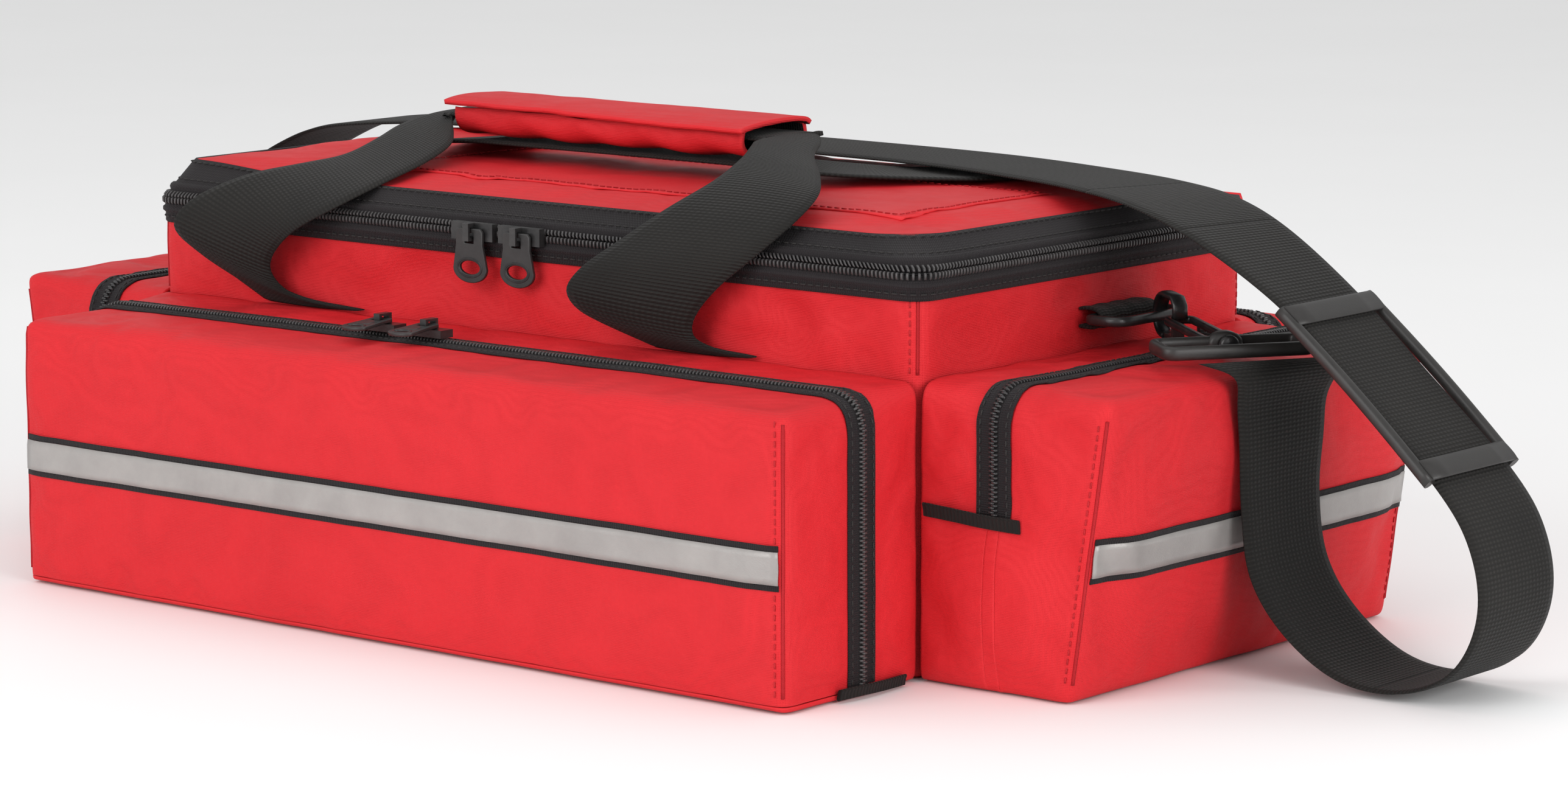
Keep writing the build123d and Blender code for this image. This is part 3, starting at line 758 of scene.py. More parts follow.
def main_compartment():
    def shape(p):
        for x in (-HALF_L, HALF_L):
            for y in (-HALF_D, HALF_D):
                p = round_edge(p, 0, x, 1, y, 0.010)
        return p

    def held(p):
        return (p[:, 2] < 0.15) | (p[:, 2] > 0.178)

    form = Form(
        (-HALF_L, -HALF_D, 0.0008), (HALF_L, HALF_D, 0.19), shape, held,
        cell=0.0085, pressure=1.2, grow=0.014, cap=0.005, crease=0.0010, seed=31,
        dents=WALL_DENTS, quiet=lambda p: p[:, 2] > 0.178,
    )
    walls = form.cut("main_walls_cloth", ((0, 0, 0.1885), DOWN), thick=0.0065, levels=1)
    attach(walls, "bag")
    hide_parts("base_panel", "front_wall", "back_wall", "end_walls")

    board = grid_box((-0.244, -0.124, 0.0078), (0.244, 0.124, 0.0108), 0.012)
    board = soft_slab("base_board_cloth", board, LINING, 0.0008, 41)
    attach(board, "bag")
    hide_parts("base_board")
    slabs = []
    for x in (-0.086, 0.086):
        slab = grid_box((x - 0.003, -0.125, 0.0115), (x + 0.003, 0.125, 0.150), 0.006)
        slabs.append(soft_slab("divider", slab, FOAM, 0.0007, 43 + x))
    dividers = join_live("dividers_cloth", slabs)
    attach(dividers, "bag")
    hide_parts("dividers")
    return form


def soft_slab(name, grid, material, wave, seed):
    points, faces, _ = grid
    obj = make(name, points, faces, [material])
    moved = points + normals(obj.data) * (ripple(points, 14, seed) * wave)[:, None]
    move_points(obj, moved)
    soften(obj, 1)
    return obj


main_form = main_compartment()


# ---- seams at the corners ----
class Cover:
    """A finished piece of cloth, as a surface to lay other pieces on."""

    def __init__(self, name):
        self.tree = BVHTree.FromObject(bpy.data.objects[name], bpy.context.evaluated_depsgraph_get())

    on = Form.on


def seam(name, cover, low, high, normal):
    """A sewn seam up a corner: a narrow ridge with stitches beside it."""
    points, where = resample([low, high], 0.004)
    normal = np.array(normal) / np.linalg.norm(normal)
    up = (points[-1] - points[0]) / where[-1]
    route = straight(points, where, up, normal, np.cross(normal, up))
    ridge = [(-0.0009, 0.0001), (-0.0003, 0.0007), (0.0003, 0.0007), (0.0009, 0.0001), (0.0, -0.0006)]
    ridge = sweep(name, route, ridge, RED_THREAD, cover)
    thread = thread_shape(0.0037, 0.0, 0.0005)
    stitches = repeats("stitches", along(route, *SEAM_STITCHES), thread, 0.0014, RED_THREAD, cover)
    obj = join(name, [ridge, stitches])
    return obj


def seams():
    end_foot = HALF_L + END_D - END_FLARE * 0.93
    end_head = HALF_L + END_D - END_FLARE * 0.06
    for side, word in ((-1, "left"), (1, "right")):
        x = side * HALF_L
        for y, part, outer in ((-1, "front", FRONT), (1, "back", BACK)):
            out, wall = (side, y, 0), y * HALF_D
            main = Cover("main_walls_cloth")
            main = seam(f"main_{part}_{word}_seam", main, (x, wall, 0.147), (x, wall, 0.183), out)
            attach(main, "bag")
            panel = Cover(f"{part}_panel_cloth")
            panel = seam(f"{part}_panel_{word}_seam", panel, (x, outer, 0.008), (x, outer, 0.136), out)
            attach(panel, f"{part}_flap")
            low, high = (side * end_foot, wall, 0.010), (side * end_head, wall, 0.136)
            corner = seam(f"{word}_flap_{part}_seam", Cover(f"{word}_flap_cloth"), low, high, out)
            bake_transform(corner)


seams()


# ---- main zip and lid ----
def left_rise(x):
    """The stuffed left end of the lid stands a little higher than the rest."""
    share = np.clip((-np.asarray(x) - 0.16) / 0.085, 0, 1)
    return 0.0045 * share * share * (3 - 2 * share)


def plan_route(inset, radius, z, left_inset=None, left_radius=None, raised=False):
    """Round the lid from its back left corner, past the front, to its back right corner."""
    front, back = -HALF_D + inset, HALF_D - 0.009
    path = []
    for side, gap, r in ((-1, left_inset, left_radius), (1, inset, radius)):
        hl, r = HALF_L - (inset if gap is None else gap), r or radius
        half = [(hl, back), (hl, front + r)]
        for k in range(1, 13):
            turn = math.pi / 2 * k / 12
            half.append((hl - r * (1 - math.cos(turn)), front + r * (1 - math.sin(turn))))
        path += [(side * x, y) for x, y in (half if side < 0 else reversed(half))]
    path, _ = resample([(x, y, 0) for x, y in path], 0.002)
    return [(x, y, z + raised * left_rise(x)) for x, y in path[:, :2]]


def banded_route(low, high, width):
    """A route whose side direction climbs from the low path, and reaches the high one at width."""
    grid = np.linspace(0, 1, 460)

    def even(path):
        points, lengths = resample(path, 0.001)
        return np.stack([np.interp(grid * lengths[-1], lengths, points[:, k]) for k in range(3)], 1)

    lower, upper = even(low), even(high)
    side = (upper - lower) / width
    tangent = unit(np.gradient(lower, axis=0))
    outward = unit(np.cross(side, -tangent))
    if outward[len(outward) // 2][1] > 0:
        outward = -outward
    return lower, distances(lower), tangent, outward, side


def main_zip():
    line, slope = 0.1953, math.hypot(0.0175, 0.0142)
    foot = plan_route(0, 0.012, line)
    head = plan_route(0.0175, 0.028, 0.2095, left_inset=0.0025, left_radius=0.015, raised=True)
    low = banded_route(foot, head, slope)
    upper_tape = [
        (0.0004, 0.0004), (0.0004, 0.0016), (0.0034, 0.0016), (0.0042, 0.0030),
        (0.0056, 0.0034), (0.0070, 0.0030), (0.0078, 0.0018), (slope - 0.003, 0.0014),
        (slope, 0.0010), (slope, -0.0008), (0.004, -0.0010), (0.0008, -0.0008),
    ]
    upper = [sweep("lid_zip_tape", low, upper_tape, TAPE)]
    upper.append(repeats("teeth", along(low, 0.0024, 0.001), TOOTH_SHAPE, 0.00055, TEETH, lift=0.0006))
    for at in (0.0102, slope - 0.0022):
        thread = thread_shape(at, 0.0012, 0.0022)
        upper.append(repeats("stitches", along(low, 0.0050, 0.002), thread, 0.0015, THREAD))
    tape = join("lid_zip_tape", upper)
    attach(tape, "lid")
    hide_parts("lid_zip")

    foot, head = (plan_route(-0.0004, 0.012, line - drop) for drop in (0.012, 0.0004))
    under = banded_route(foot, head, 0.0116)
    lower_tape = [
        (-0.0012, -0.0012), (-0.0012, 0.0006), (-0.0004, 0.0012), (0.004, 0.0012), (0.0052, 0.0026),
        (0.0068, 0.0026), (0.0078, 0.0014), (0.0112, 0.0012), (0.0112, -0.0012),
    ]
    lower = [sweep("body_zip_tape", under, lower_tape, TAPE)]
    shape = [(0.0116 - a, b) for a, b in TOOTH_SHAPE][::-1]
    lower.append(repeats("teeth", along(under, 0.0024, 0.0022), shape, 0.00055, TEETH, lift=0.0004))
    thread = thread_shape(0.0021, 0.0010, 0.0018)
    lower.append(repeats("stitches", along(under, 0.0046, 0.002), thread, 0.0014, THREAD))
    tape = join("body_zip_tape", lower)
    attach(tape, "bag")
    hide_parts("body_zip")


def lid():
    inset = 0.0165
    left, right, front = -HALF_L + 0.0030, HALF_L - inset, -HALF_D + inset

    def shape(p):
        p = round_edge(p, 0, left, 1, front, 0.014)
        p = round_edge(p, 0, right, 1, front, 0.027)
        for x in (left, right):
            p = round_edge(p, 0, x, 2, LID_TOP, 0.002)
        p[:, 2] += left_rise(p[:, 0])
        return p

    def held(p):
        edge = np.minimum.reduce([p[:, 0] - left, right - p[:, 0], p[:, 1] - front, HALF_D - p[:, 1]])
        return (edge < 0.009) | (p[:, 2] < LID_TOP - 0.005)

    form = Form(
        (left, front, 0.2005), (right, HALF_D, LID_TOP), shape, held,
        cell=0.008, pressure=1.6, grow=0.008, cap=0.004, crease=0.0009, seed=37,
    )
    for face in form.obj.data.polygons:
        face.material_index = int(face.center.z - left_rise(face.center.x) < 0.2015)
    top = form.cut("lid_cloth", thick=0.001, levels=1)
    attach(top, "lid")
    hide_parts("lid_panel", "lid_foam")

    width = 0.0238
    foot = plan_route(0.0012, 0.012, 0.1952)
    head = plan_route(0.024, 0.022, 0.2012, left_inset=0.012, left_radius=0.015)
    under = banded_route(foot, head, width)
    rim = sweep("lid_rim_cloth", under, [(0, 0), (width, 0), (width, -0.0007), (0, -0.0007)], LINING)
    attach(rim, "lid")
    return form


main_zip()
lid_form = lid()


def stitched_patch():
    """A rectangle of thin cloth on the lid, with a row of stitches inside its edges."""
    left, right, front, back = -0.150, 0.205, -0.084, 0.040
    count, inset = 40, 0.004
    flat = [(a, b) for a in np.linspace(left, right, count) for b in np.linspace(front, back, count)]
    laid = [lid_form.on((a, b, LID_TOP), UP, 0.0008) for a, b in flat]
    patch = make("lid_patch_cloth", laid, lattice(count, count), [RED], flat)
    thicken(patch, 0.0007, 0)
    pieces = [patch]
    left, right, front, back = left + inset, right - inset, front + inset, back - inset
    corners = [(left, front), (right, front), (right, back), (left, back), (left, front)]
    corners = [np.array([x, y, LID_TOP]) for x, y in corners]
    thread = thread_shape(0.0, 0.0, 0.0005, half=0.0004)
    for start, end in zip(corners, corners[1:]):
        points, where = resample([start, end], 0.004)
        laid = np.array([lid_form.on(p, UP, 0.0009) for p in points])
        ahead = (end - start) / np.linalg.norm(end - start)
        route = straight(laid, where, ahead, (0, 0, 1.0), np.cross(ahead, UP))
        pieces.append(repeats("stitches", along(route, *SEAM_STITCHES), thread, 0.0014, RED_THREAD))
    patch = join_live("lid_patch_cloth", pieces)
    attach(patch, "lid")
    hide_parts("lid_patch")


stitched_patch()


# ---- webbing ----
def edges_of(stations):
    """The two edges of webbing given as (centre, width direction, share of the full width)."""
    edges = []
    for centre, across, *share in stations:
        centre, across = np.array(centre, float), np.array(across, float)
        half = across / np.linalg.norm(across) * 500 * WEBBING * (share[0] if share else 1)
        edges.append((centre - half, centre + half))
    return edges


def smooth_edges(edges):
    """Both edges as smooth curves through their stations: one row of 6 numbers a step."""
    data = np.array(edges, float).reshape(-1, 6) / 1000
    padded = np.vstack([2 * data[0] - data[1], data, 2 * data[-1] - data[-2]])
    out = []
    for k in range(1, len(padded) - 2):
        p0, p1, p2, p3 = padded[k - 1 : k + 3]
        count = max(2, int(np.linalg.norm(p2 - p1) / 0.004))
        for t in np.arange(count) / count:
            bend, twist = 2 * p0 - 5 * p1 + 4 * p2 - p3, 3 * p1 - p0 - 3 * p2 + p3
            out.append(0.5 * (2 * p1 + (p2 - p0) * t + bend * t * t + twist * t ** 3))
    out.append(data[-1])
    out = np.array(out)
    for _ in range(3):
        out[1:-1] = (out[:-2] + 2 * out[1:-1] + out[2:]) / 4
    return out


def webbing(name, edges, cup=0.0, thick=0.0022):
    """Flat webbing with rounded selvedges between two edges. cup bows it across its width."""
    rows = smooth_edges(edges)
    one, other = rows[:, :3], rows[:, 3:]
    centre, across = (one + other) / 2, (other - one) / 2
    tangent = np.gradient(centre, axis=0)
    up = unit(np.cross(tangent, across))
    where, h = distances(centre), thick / 2
    top = [(a, h * min(1, 0.35 + 6 * (1 - abs(a)))) for a in np.linspace(-1, 1, WEBBING_RING // 2)]
    ring = top + [(a, -b) for a, b in reversed(top)]
    verts, uvs = [], []
    for n in range(len(centre)):
        for a, b in ring:
            verts.append(centre[n] + across[n] * a + up[n] * (b + cup * (a * a - 0.33)))
            uvs.append((where[n], WEBBING / 2 * a))
    return make(name, verts, lattice(len(centre), len(ring), ring=True, caps=True), [STRAP], uvs)


# Where the webbing runs, in millimetres: the front handle by its two edges, and the others by
# their centre, width direction and, where they are folded narrower, share of the full width.
FRONT_HANDLE = [
    ((-176, -140, 147), (-103, -140, 147)),
    ((-191, -150, 160), (-134, -145, 149)),
    ((-205, -162, 173), (-153, -149, 155)),
    ((-212, -171, 186), (-159, -153, 166)),
    ((-205, -164, 200), (-150, -156, 178)),
    ((-190, -139, 212), (-133, -158, 190)),
    ((-176, -110, 217), (-112, -147, 203)),
    ((-170, -84, 220), (-106, -119, 213)),
    ((-174, -55, 226), (-107, -90, 220)),
    ((-181, -30, 231), (-114, -62, 227)),
    ((-181, -5, 235), (-130, -42, 232)),
    ((-170, 14, 237), (-145, -27, 236)),
    ((-146, 23, 238), (-142, -23, 238)),
    ((59, 22, 238), (59, -22, 238)),
    ((70, 19, 238), (70, -25, 238.5)),
    ((88, 0, 236.5), (77, -40, 239.5)),
    ((114, -38, 234), (89, -58, 239)),
    ((150, -78, 230), (104, -84, 236)),
    ((174, -110, 225), (110, -112, 228)),
    ((176, -131, 214), (100, -138, 215)),
    ((164, -146, 198), (83, -155, 199)),
    ((146, -152, 182), (71, -167, 187)),
    ((131, -152, 166), (64, -171, 175)),
    ((127, -149, 155), (66, -163, 164)),
    ((139, -144, 149), (77, -150, 155)),
    ((160, -140, 147), (92, -140, 147)),
]
BACK_HANDLE = [
    ((-140, 141, 147), (1, 0, 0)),
    ((-150, 148, 168), (1, 0, 0)),
    ((-156, 151, 192), (1, 0, 0)),
    ((-155, 145, 210), (1, 0, 0)),
    ((-154, 126, 215.4), (1, 0.05, 0)),
    ((-154, 84, 215.4), (1, 0.1, 0)),
    ((-158, 46, 217), (0.9, 0.4, 0)),
    ((-156, 16, 220), (0.55, 0.85, 0), 0.9),
    ((-136, 1, 223), (0.1, 1, 0), 0.75),
    ((-115, 0, 223.4), (0, 1, 0), 0.7),
    ((40, 0, 223.4), (0, 1, 0), 0.7),
    ((64, 3, 222), (-0.2, 1, 0), 0.8),
    ((92, 22, 219.5), (-0.6, 0.8, 0), 0.92),
    ((118, 58, 216.5), (-0.95, 0.35, 0)),
    ((130, 92, 215.4), (-1, 0.12, 0)),
    ((135, 126, 215.4), (-1, 0.05, 0)),
    ((140, 145, 210), (-1, 0, 0)),
    ((142, 151, 192), (-1, 0, 0)),
    ((136, 148, 168), (-1, 0, 0)),
    ((126, 141, 147), (-1, 0, 0)),
]
SHOULDER = [
    ((-384, 66, 152.5), (0.35, 0.93, 0)),
    ((-389, 68, 163), (0.2, 1, 0)),
    ((-383, 72, 178), (0.05, 1, 0)),
    ((-368, 78, 193), (0, 1, 0)),
    ((-350, 83, 204), (0, 1, 0)),
    ((-330, 87, 212), (0, 1, 0)),
    ((-300, 89, 216.5), (0, 1, 0)),
    ((-240, 92, 220.4), (0, 1, 0)),
    ((-140, 95, 221), (0, 1, 0)),
    ((0, 98, 221), (0, 1, 0)),
    ((110, 91, 221), (0.1, 1, 0)),
    ((190, 70, 221), (0.25, 1, 0)),
    ((250, 45, 221), (0.35, 1, 0)),
    ((300, 20, 218.5), (0.3, 1, 0)),
    ((345, 4, 207), (0.15, 1, 0)),
    ((392, -2, 181), (0, 1, 0)),
    ((428, -2, 150), (0, 1, 0)),
]
STRAP_LOOP = [
    ((430.5, -2, 147.8), (0, 1, 0)),
    ((480, -2, 104), (0, 1, 0)),
    ((499, -2, 76), (0, 1, 0)),
    ((503, -2, 46), (0, 1, 0)),
    ((490, -2, 19), (0, 1, 0)),
    ((461, -2, 5), (0, 1, 0)),
    ((427, -2, 7), (0, 1, 0)),
    ((397, -2, 25), (0, 1, 0)),
    ((378, -2, 50), (0, 1, 0)),
    ((372.5, -2, 82), (0, 1, 0)),
    ((374, -4, 112), (0.05, 1, 0)),
    ((376, -7, 132), (0.1, 1, 0)),
    ((383, -13, 147), (0.25, 0.97, 0)),
    ((376, -25, 153), (0.5, 0.86, 0)),
]


def handles():
    front = webbing("front_handle_webbing", FRONT_HANDLE, cup=0.0012)
    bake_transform(front)
    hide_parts("front_handle")
    back = webbing("back_handle_webbing", edges_of(BACK_HANDLE), cup=0.0008)
    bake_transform(back)
    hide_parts("back_handle")


def shoulder_strap():
    """One strap cut into lengths that meet: on the bag, on the lid and hanging. The length on the lid rides
    the lid."""
    whole = webbing("strap", edges_of(SHOULDER + STRAP_LOOP))
    co = coords(whole.data)
    middle_x = co[:, 0].reshape(-1, WEBBING_RING).mean(1)
    bottom = co[:, 2].reshape(-1, WEBBING_RING).mean(1).argmin()
    over = [np.abs(middle_x[:bottom] - x).argmin() for x in (-0.259, 0.259, 0.334)]
    cuts = [0, *over, bottom, len(middle_x) - 1]
    names = ("strap_left", "strap_lid", "strap_right", "strap_drop", "strap_end")
    left, middle, right, drop, end = split_webbing(whole, [f"{n}_webbing" for n in names], cuts)
    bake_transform(left)
    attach(middle, "lid")
    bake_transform(right)
    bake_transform(drop)
    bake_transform(end)
    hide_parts("shoulder_strap")
    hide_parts("strap_drop")


def split_webbing(whole, names, cuts):
    """Pieces of webbing between its cut rows. Neighbours share the points of their cut."""
    ring, co = WEBBING_RING, coords(whole.data)
    vert_uv = np.zeros((len(co), 2))
    vert_uv[corner_points(whole.data)] = read(whole.data.uv_layers[0].data, "uv", 2)
    pieces = []
    for name, first, last in zip(names, cuts, cuts[1:]):
        rows = slice(first * ring, (last + 1) * ring)
        faces = lattice(last + 1 - first, ring, ring=True, caps=True)
        piece = make(name, co[rows], faces, [STRAP], vert_uv[rows])
        for end in piece.data.polygons[-2:]:
            end.use_smooth = False
        pieces.append(piece)
    bpy.data.objects.remove(whole)
    return pieces


handles()
shoulder_strap()


# ---- grip wrap ----
def grip():
    """Red padded wrap round both handles, and its flap, which closes over the front."""
    xs = np.linspace(-0.143, 0.057, 34)
    profile = [
        (0.0262, 0.2432), (0.0272, 0.2385), (0.0268, 0.2325), (0.0235, 0.2285),
        (0.014, 0.2268), (0.0, 0.2264), (-0.014, 0.2268), (-0.0235, 0.2290),
        (-0.0272, 0.2335), (-0.0276, 0.2385), (-0.0262, 0.2425),
    ]
    verts, uvs = [], []
    for i, x in enumerate(xs):
        for j, (y, z) in enumerate(profile):
            sag = 0.0007 * math.sin(i * 0.9 + j) + 0.0009 * noise.noise(Vector((x * 30, y * 40, z * 40)))
            verts.append((x, y + sag, z + sag))
            uvs.append((x, j * 0.01))
    wrap = make("grip_wrap_cloth", verts, lattice(len(xs), len(profile)), [RED, HOOK_TAPE], uvs)
    soften(wrap, 2)
    thicken(wrap, 0.0026)
    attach(wrap, "back_handle")
    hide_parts("grip_wrap")

    top = [
        (0.0262, 0.2437), (0.0240, 0.2458), (0.0180, 0.2470), (0.0060, 0.2474),
        (-0.008, 0.2474), (-0.0200, 0.2468), (-0.0280, 0.2456), (-0.0315, 0.2446),
    ]
    xs = np.linspace(-0.1465, 0.0605, 34)
    verts, uvs = [], []
    for i, x in enumerate(xs):
        lift = 0.0015 * math.cos(i / 33 * math.pi) + 0.0008 * noise.noise(Vector((x * 22, 3.0, 1.0)))
        for j, (y, z) in enumerate(top):
            free = (0.026 - y) / 0.058
            verts.append((x, y, z + lift * free + 0.0005 * noise.noise(Vector((x * 60, y * 60, 5.0)))))
            uvs.append((x, j * 0.008))
    flap = make("grip_flap_cloth", verts, lattice(len(xs), len(top)), [RED, HOOK_TAPE], uvs)
    if flap.data.polygons[60].normal.z < 0:
        flap.data.flip_normals()
    soften(flap, 2)
    thicken(flap, 0.0026)
    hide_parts("grip_flap")
    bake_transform(flap)


grip()


# ---- back hinge strip, zip end tabs, ring tabs ----
def hinge_strip():
    """The back wall's cloth runs on over the lid's hinge."""
    xs = np.linspace(-0.2545, 0.2545, 80)
    zs = np.linspace(0.183, 0.2098, 10)
    verts, uvs = [], []
    for x in xs:
        for z in zs:
            y = HALF_D + 0.0006 + 0.0007 * noise.noise(Vector((x * 25, z * 60, 9.0)))
            y -= 0.0016 * max(0.0, (z - 0.2065) / 0.0033) ** 2
            verts.append((x, y, z))
            uvs.append((x, z))
    strip = make("back_hinge_cloth", verts, lattice(len(xs), len(zs), flip=True), [RED, LINING], uvs)
    if strip.data.polygons[0].normal.y < 0:
        strip.data.flip_normals()
    thicken(strip, 0.0016)
    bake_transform(strip)


hinge_strip()


def folded_tab(points, across, half_width):
    """A short flat tab of narrow webbing through its centre points."""
    stations = [(tuple(c * 1000 for c in p), across, half_width / (WEBBING / 2)) for p in points]
    return webbing("tab", edges_of(stations), cup=0.0003, thick=0.0018)


def zip_tabs():
    tabs = []
    for side in (-1, 1):
        x = side * (HALF_L + 0.0022)
        foot = [(x, -0.200, 0.0042), (x + side * 0.002, -0.186, 0.0046)]
        foot += [(x + side * 0.0015, -0.168, 0.0040), (x, -0.150, 0.0036)]
        tabs.append(folded_tab(foot, (side * 0.25, 0, 1), 0.0028))
        for y in (-1, 1):
            at = y * (HALF_D + 0.0022)
            low = [(side * 0.262, at, 0.0845), (side * 0.280, at + y * 0.001, 0.0838)]
            low += [(side * 0.300, at + y * 0.0012, 0.0826), (side * 0.318, at, 0.0820)]
            tabs.append(folded_tab(low, (0, y * 0.2, 1), 0.0034))
    tabs = join("zip_end_tabs_webbing", tabs)
    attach(tabs, "bag")
    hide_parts("zip_end_tabs")


def ring_tabs():
    """Webbing sewn to the end wall and folded round each ring's inner bar."""
    upper = [(0.0008, 0.0050), (0.0035, 0.0054), (0.008, 0.0056), (0.0122, 0.0048), (0.0146, 0.0026)]
    loop = upper + [(0.0152, 0.0)] + [(out, -z) for out, z in reversed(upper)]
    ys = np.linspace(-0.0095, 0.0395, 22)
    pieces = []
    for side in (-1, 1):
        verts, uvs = [], []
        for i, y in enumerate(ys):
            bump = 0.0003 * math.sin(i * 1.1)
            for j, (out, z) in enumerate(loop):
                verts.append((side * (HALF_L + out), y, RING_Z + z + bump))
                uvs.append((j * 0.004, y))
        piece = make("ring_tab", verts, lattice(len(ys), len(loop), flip=side > 0), [STRAP], uvs)
        soften(piece, 1)
        thicken(piece, 0.0014, 0)
        pieces.append(piece)
    tabs = join_live("d_ring_tabs_webbing", pieces)
    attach(tabs, "bag")
    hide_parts("d_ring_tabs")


zip_tabs()
ring_tabs()


# ---- zip pulls ----
def oval(x, y, rx, ry):
    turns = [2 * math.pi * k / 28 for k in range(28)]
    return [(x + rx * math.cos(a), y + ry * math.sin(a)) for a in turns]


def plate(name, outlines, thick, edge, material):
    """A flat plate with rounded edges from its outline and its holes."""
    curve = bpy.data.curves.new(name, "CURVE")
    curve.dimensions = "2D"
    curve.fill_mode = "BOTH"
    curve.extrude = thick / 2 - edge
    curve.bevel_depth = edge
    curve.bevel_resolution = 3
    for outline in outlines:
        spline = curve.splines.new("POLY")
        spline.points.add(len(outline) - 1)
        for point, (x, y) in zip(spline.points, outline):
            point.co = (x, y, 0, 1)
        spline.use_cyclic_u = True
    drawn = bpy.data.objects.new(name, curve)
    mesh = bpy.data.meshes.new_from_object(drawn)
    bpy.data.objects.remove(drawn)
    mesh.materials.clear()
    mesh.materials.append(material)
    face_outwards(mesh, weld=0.00001)
    obj = bpy.data.objects.new(name, mesh)
    scene.collection.objects.link(obj)
    return obj


def pull(name, place, width, length):
    """A tapered pull with a rounded finger loop, and a raised grip pad on both faces."""
    top, low = width * 0.39, width * 0.5
    foot = -length + low * 0.62
    outline = [(-top + 0.0012, 0.0), (-top, -0.0012), (-top, -length * 0.3)]
    for a in np.linspace(math.pi, 2 * math.pi, 19):
        outline.append((low * math.cos(a), foot + low * 0.62 * math.sin(a)))
    outline += [(top, -length * 0.3), (top, -0.0012), (top - 0.0012, 0.0)]
    window = [(-0.0036, -0.0013), (-0.0036, -0.0076), (0.0036, -0.0076), (0.0036, -0.0013)]
    hole = oval(0, foot + low * 0.06, low * 0.66, low * 0.36)
    body = plate(name, [outline, window, hole], 0.0018, 0.00045, RUBBER)
    rim_sizes = ((0.78, 0.47), (0.70, 0.40))
    rim = [oval(0, foot + low * 0.06, low * wide, low * tall) for wide, tall in rim_sizes]
    pad_w, pad_top, pad_low = top * 0.62, -0.0115, foot + low * 0.66
    parts = [body]
    for level in (-0.0008, 0.0008):
        pieces = [plate("rim", rim, 0.0006, 0.0002, METAL)]
        if pad_top - pad_low > 0.003:
            pad = [(-pad_w, pad_top), (-pad_w, pad_low), (pad_w, pad_low), (pad_w, pad_top)]
            pieces.append(plate("pad", [pad], 0.0006, 0.0002, RUBBER))
        for piece in pieces:
            piece.data.transform(Matrix.Translation((0, 0, level)))
        parts += pieces
    obj = join(name, parts)
    obj.data.transform(place)
    node = name.removesuffix("_plate")
    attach(obj, node)
    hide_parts(node)


def turned(x, y, z, axis, degrees):
    return Matrix.Translation((x, y, z)) @ Matrix.Rotation(math.radians(degrees), 4, axis)


def pulls():
    """Each pull hangs from its slider and droops by a few degrees."""
    for name, slider, tall, droop, size in (
        ("main_left", turned(-0.023, -0.1398, 0.195, "X", 90), 0.004, 2, (0.022, 0.027)),
        ("main_right", turned(0.009, -0.1398, 0.195, "X", 90), 0.004, 2, (0.022, 0.027)),
        ("front_left", turned(-0.050, FRONT_ZIP_Y, 0.1463, "X", 0), 0.004, 5, (0.015, 0.026)),
        ("front_right", turned(-0.018, FRONT_ZIP_Y, 0.1463, "X", 0), 0.004, 5, (0.015, 0.026)),
        ("back", turned(0, BACK_ZIP_Y, 0.1464, "Z", 180), 0.004, 5, (0.015, 0.026)),
        ("left_end", turned(-END_ZIP_X, -0.030, 0.148, "Z", -90), 0.003, 2, (0.012, 0.018)),
        ("right_end", turned(END_ZIP_X, 0.037, 0.148, "Z", 90), 0.003, 2, (0.012, 0.018)),
    ):
        hung = turned(0, 0.0013, tall + 0.0016, "X", droop)
        pull(f"{name}_pull_plate", slider @ hung, *size)


pulls()


# ---- rings, hooks, loops and the adjuster ----
def rounded(corners):
    """Centre points round a closed outline with rounded corners, given as (x, y, radius)."""
    corners = [(Vector((x, y, 0)), radius) for x, y, radius in corners]
    points = []
    for i, (corner, radius) in enumerate(corners):
        back = (corners[i - 1][0] - corner).normalized() * radius
        on = (corners[(i + 1) % len(corners)][0] - corner).normalized() * radius
        for t in np.linspace(0, 1, 7):
            points.append(corner + back * (1 - t) ** 2 + on * t ** 2)
    return np.array(points)


def bar(name, points, across, wide, thick, closed=False, material=METAL):
    """A rounded bar along flat points: across is square to their plane, with half sizes."""
    if closed:
        ahead = np.roll(points, -1, 0) - np.roll(points, 1, 0)
    else:
        ahead = np.gradient(points, axis=0)
    across = np.array(across, float)
    side = np.cross(unit(ahead), across)
    angles = np.linspace(0, 2 * math.pi, 20, endpoint=False)
    rows = []
    for p, s in zip(points, side):
        for a in angles:
            x, y = (math.copysign(abs(v) ** 0.8, v) for v in (math.cos(a), math.sin(a)))
            rows.append(p + s * (thick * x) + across * (wide * y))
    faces = lattice(len(points), len(angles), ring=True, loop=closed, caps=not closed, flip=True)
    return make(name, rows, faces, [material])


def lathe(name, outline, material=METAL):
    """A solid turned round the local X axis from (x, radius) points."""
    angles = np.linspace(0, 2 * math.pi, 28, endpoint=False)
    rows = [(x, r * math.cos(a), r * math.sin(a)) for x, r in outline for a in angles]
    return make(name, rows, lattice(len(outline), len(angles), ring=True, caps=True), [material])


def placed(name, pieces, matrix):
    """Pieces joined and moved to their place, facing outwards."""
    obj = join(name, pieces)
    obj.data.transform(matrix)
    face_outwards(obj.data)
    return obj


def rectangle(x_low, x_high, y_low, y_high, radius):
    """Centre points round a flat rectangle with rounded corners."""
    corners = [(x_low, y_low), (x_high, y_low), (x_high, y_high), (x_low, y_high)]
    return rounded([(x, y, radius) for x, y in corners])


def d_ring(name, side):
    a, b = RING_BAR_X, RING_OUTER_X
    corners = [(a, -0.0135, 0.004), (a, 0.0435, 0.004), (b, 0.0435, 0.0095), (b, -0.0135, 0.0095)]
    ring = bar("ring", rounded(corners), UP, 0.0025, 0.0025, closed=True)
    obj = placed(f"{name}_d_ring_wire", [ring], Matrix.Translation((0, 0, RING_Z)))
    if side < 0:
        obj.data.transform(Matrix.Scale(-1, 4, (1, 0, 0)))
        obj.data.flip_normals()
    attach(obj, f"{name}_d_ring")
    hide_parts(f"{name}_d_ring")


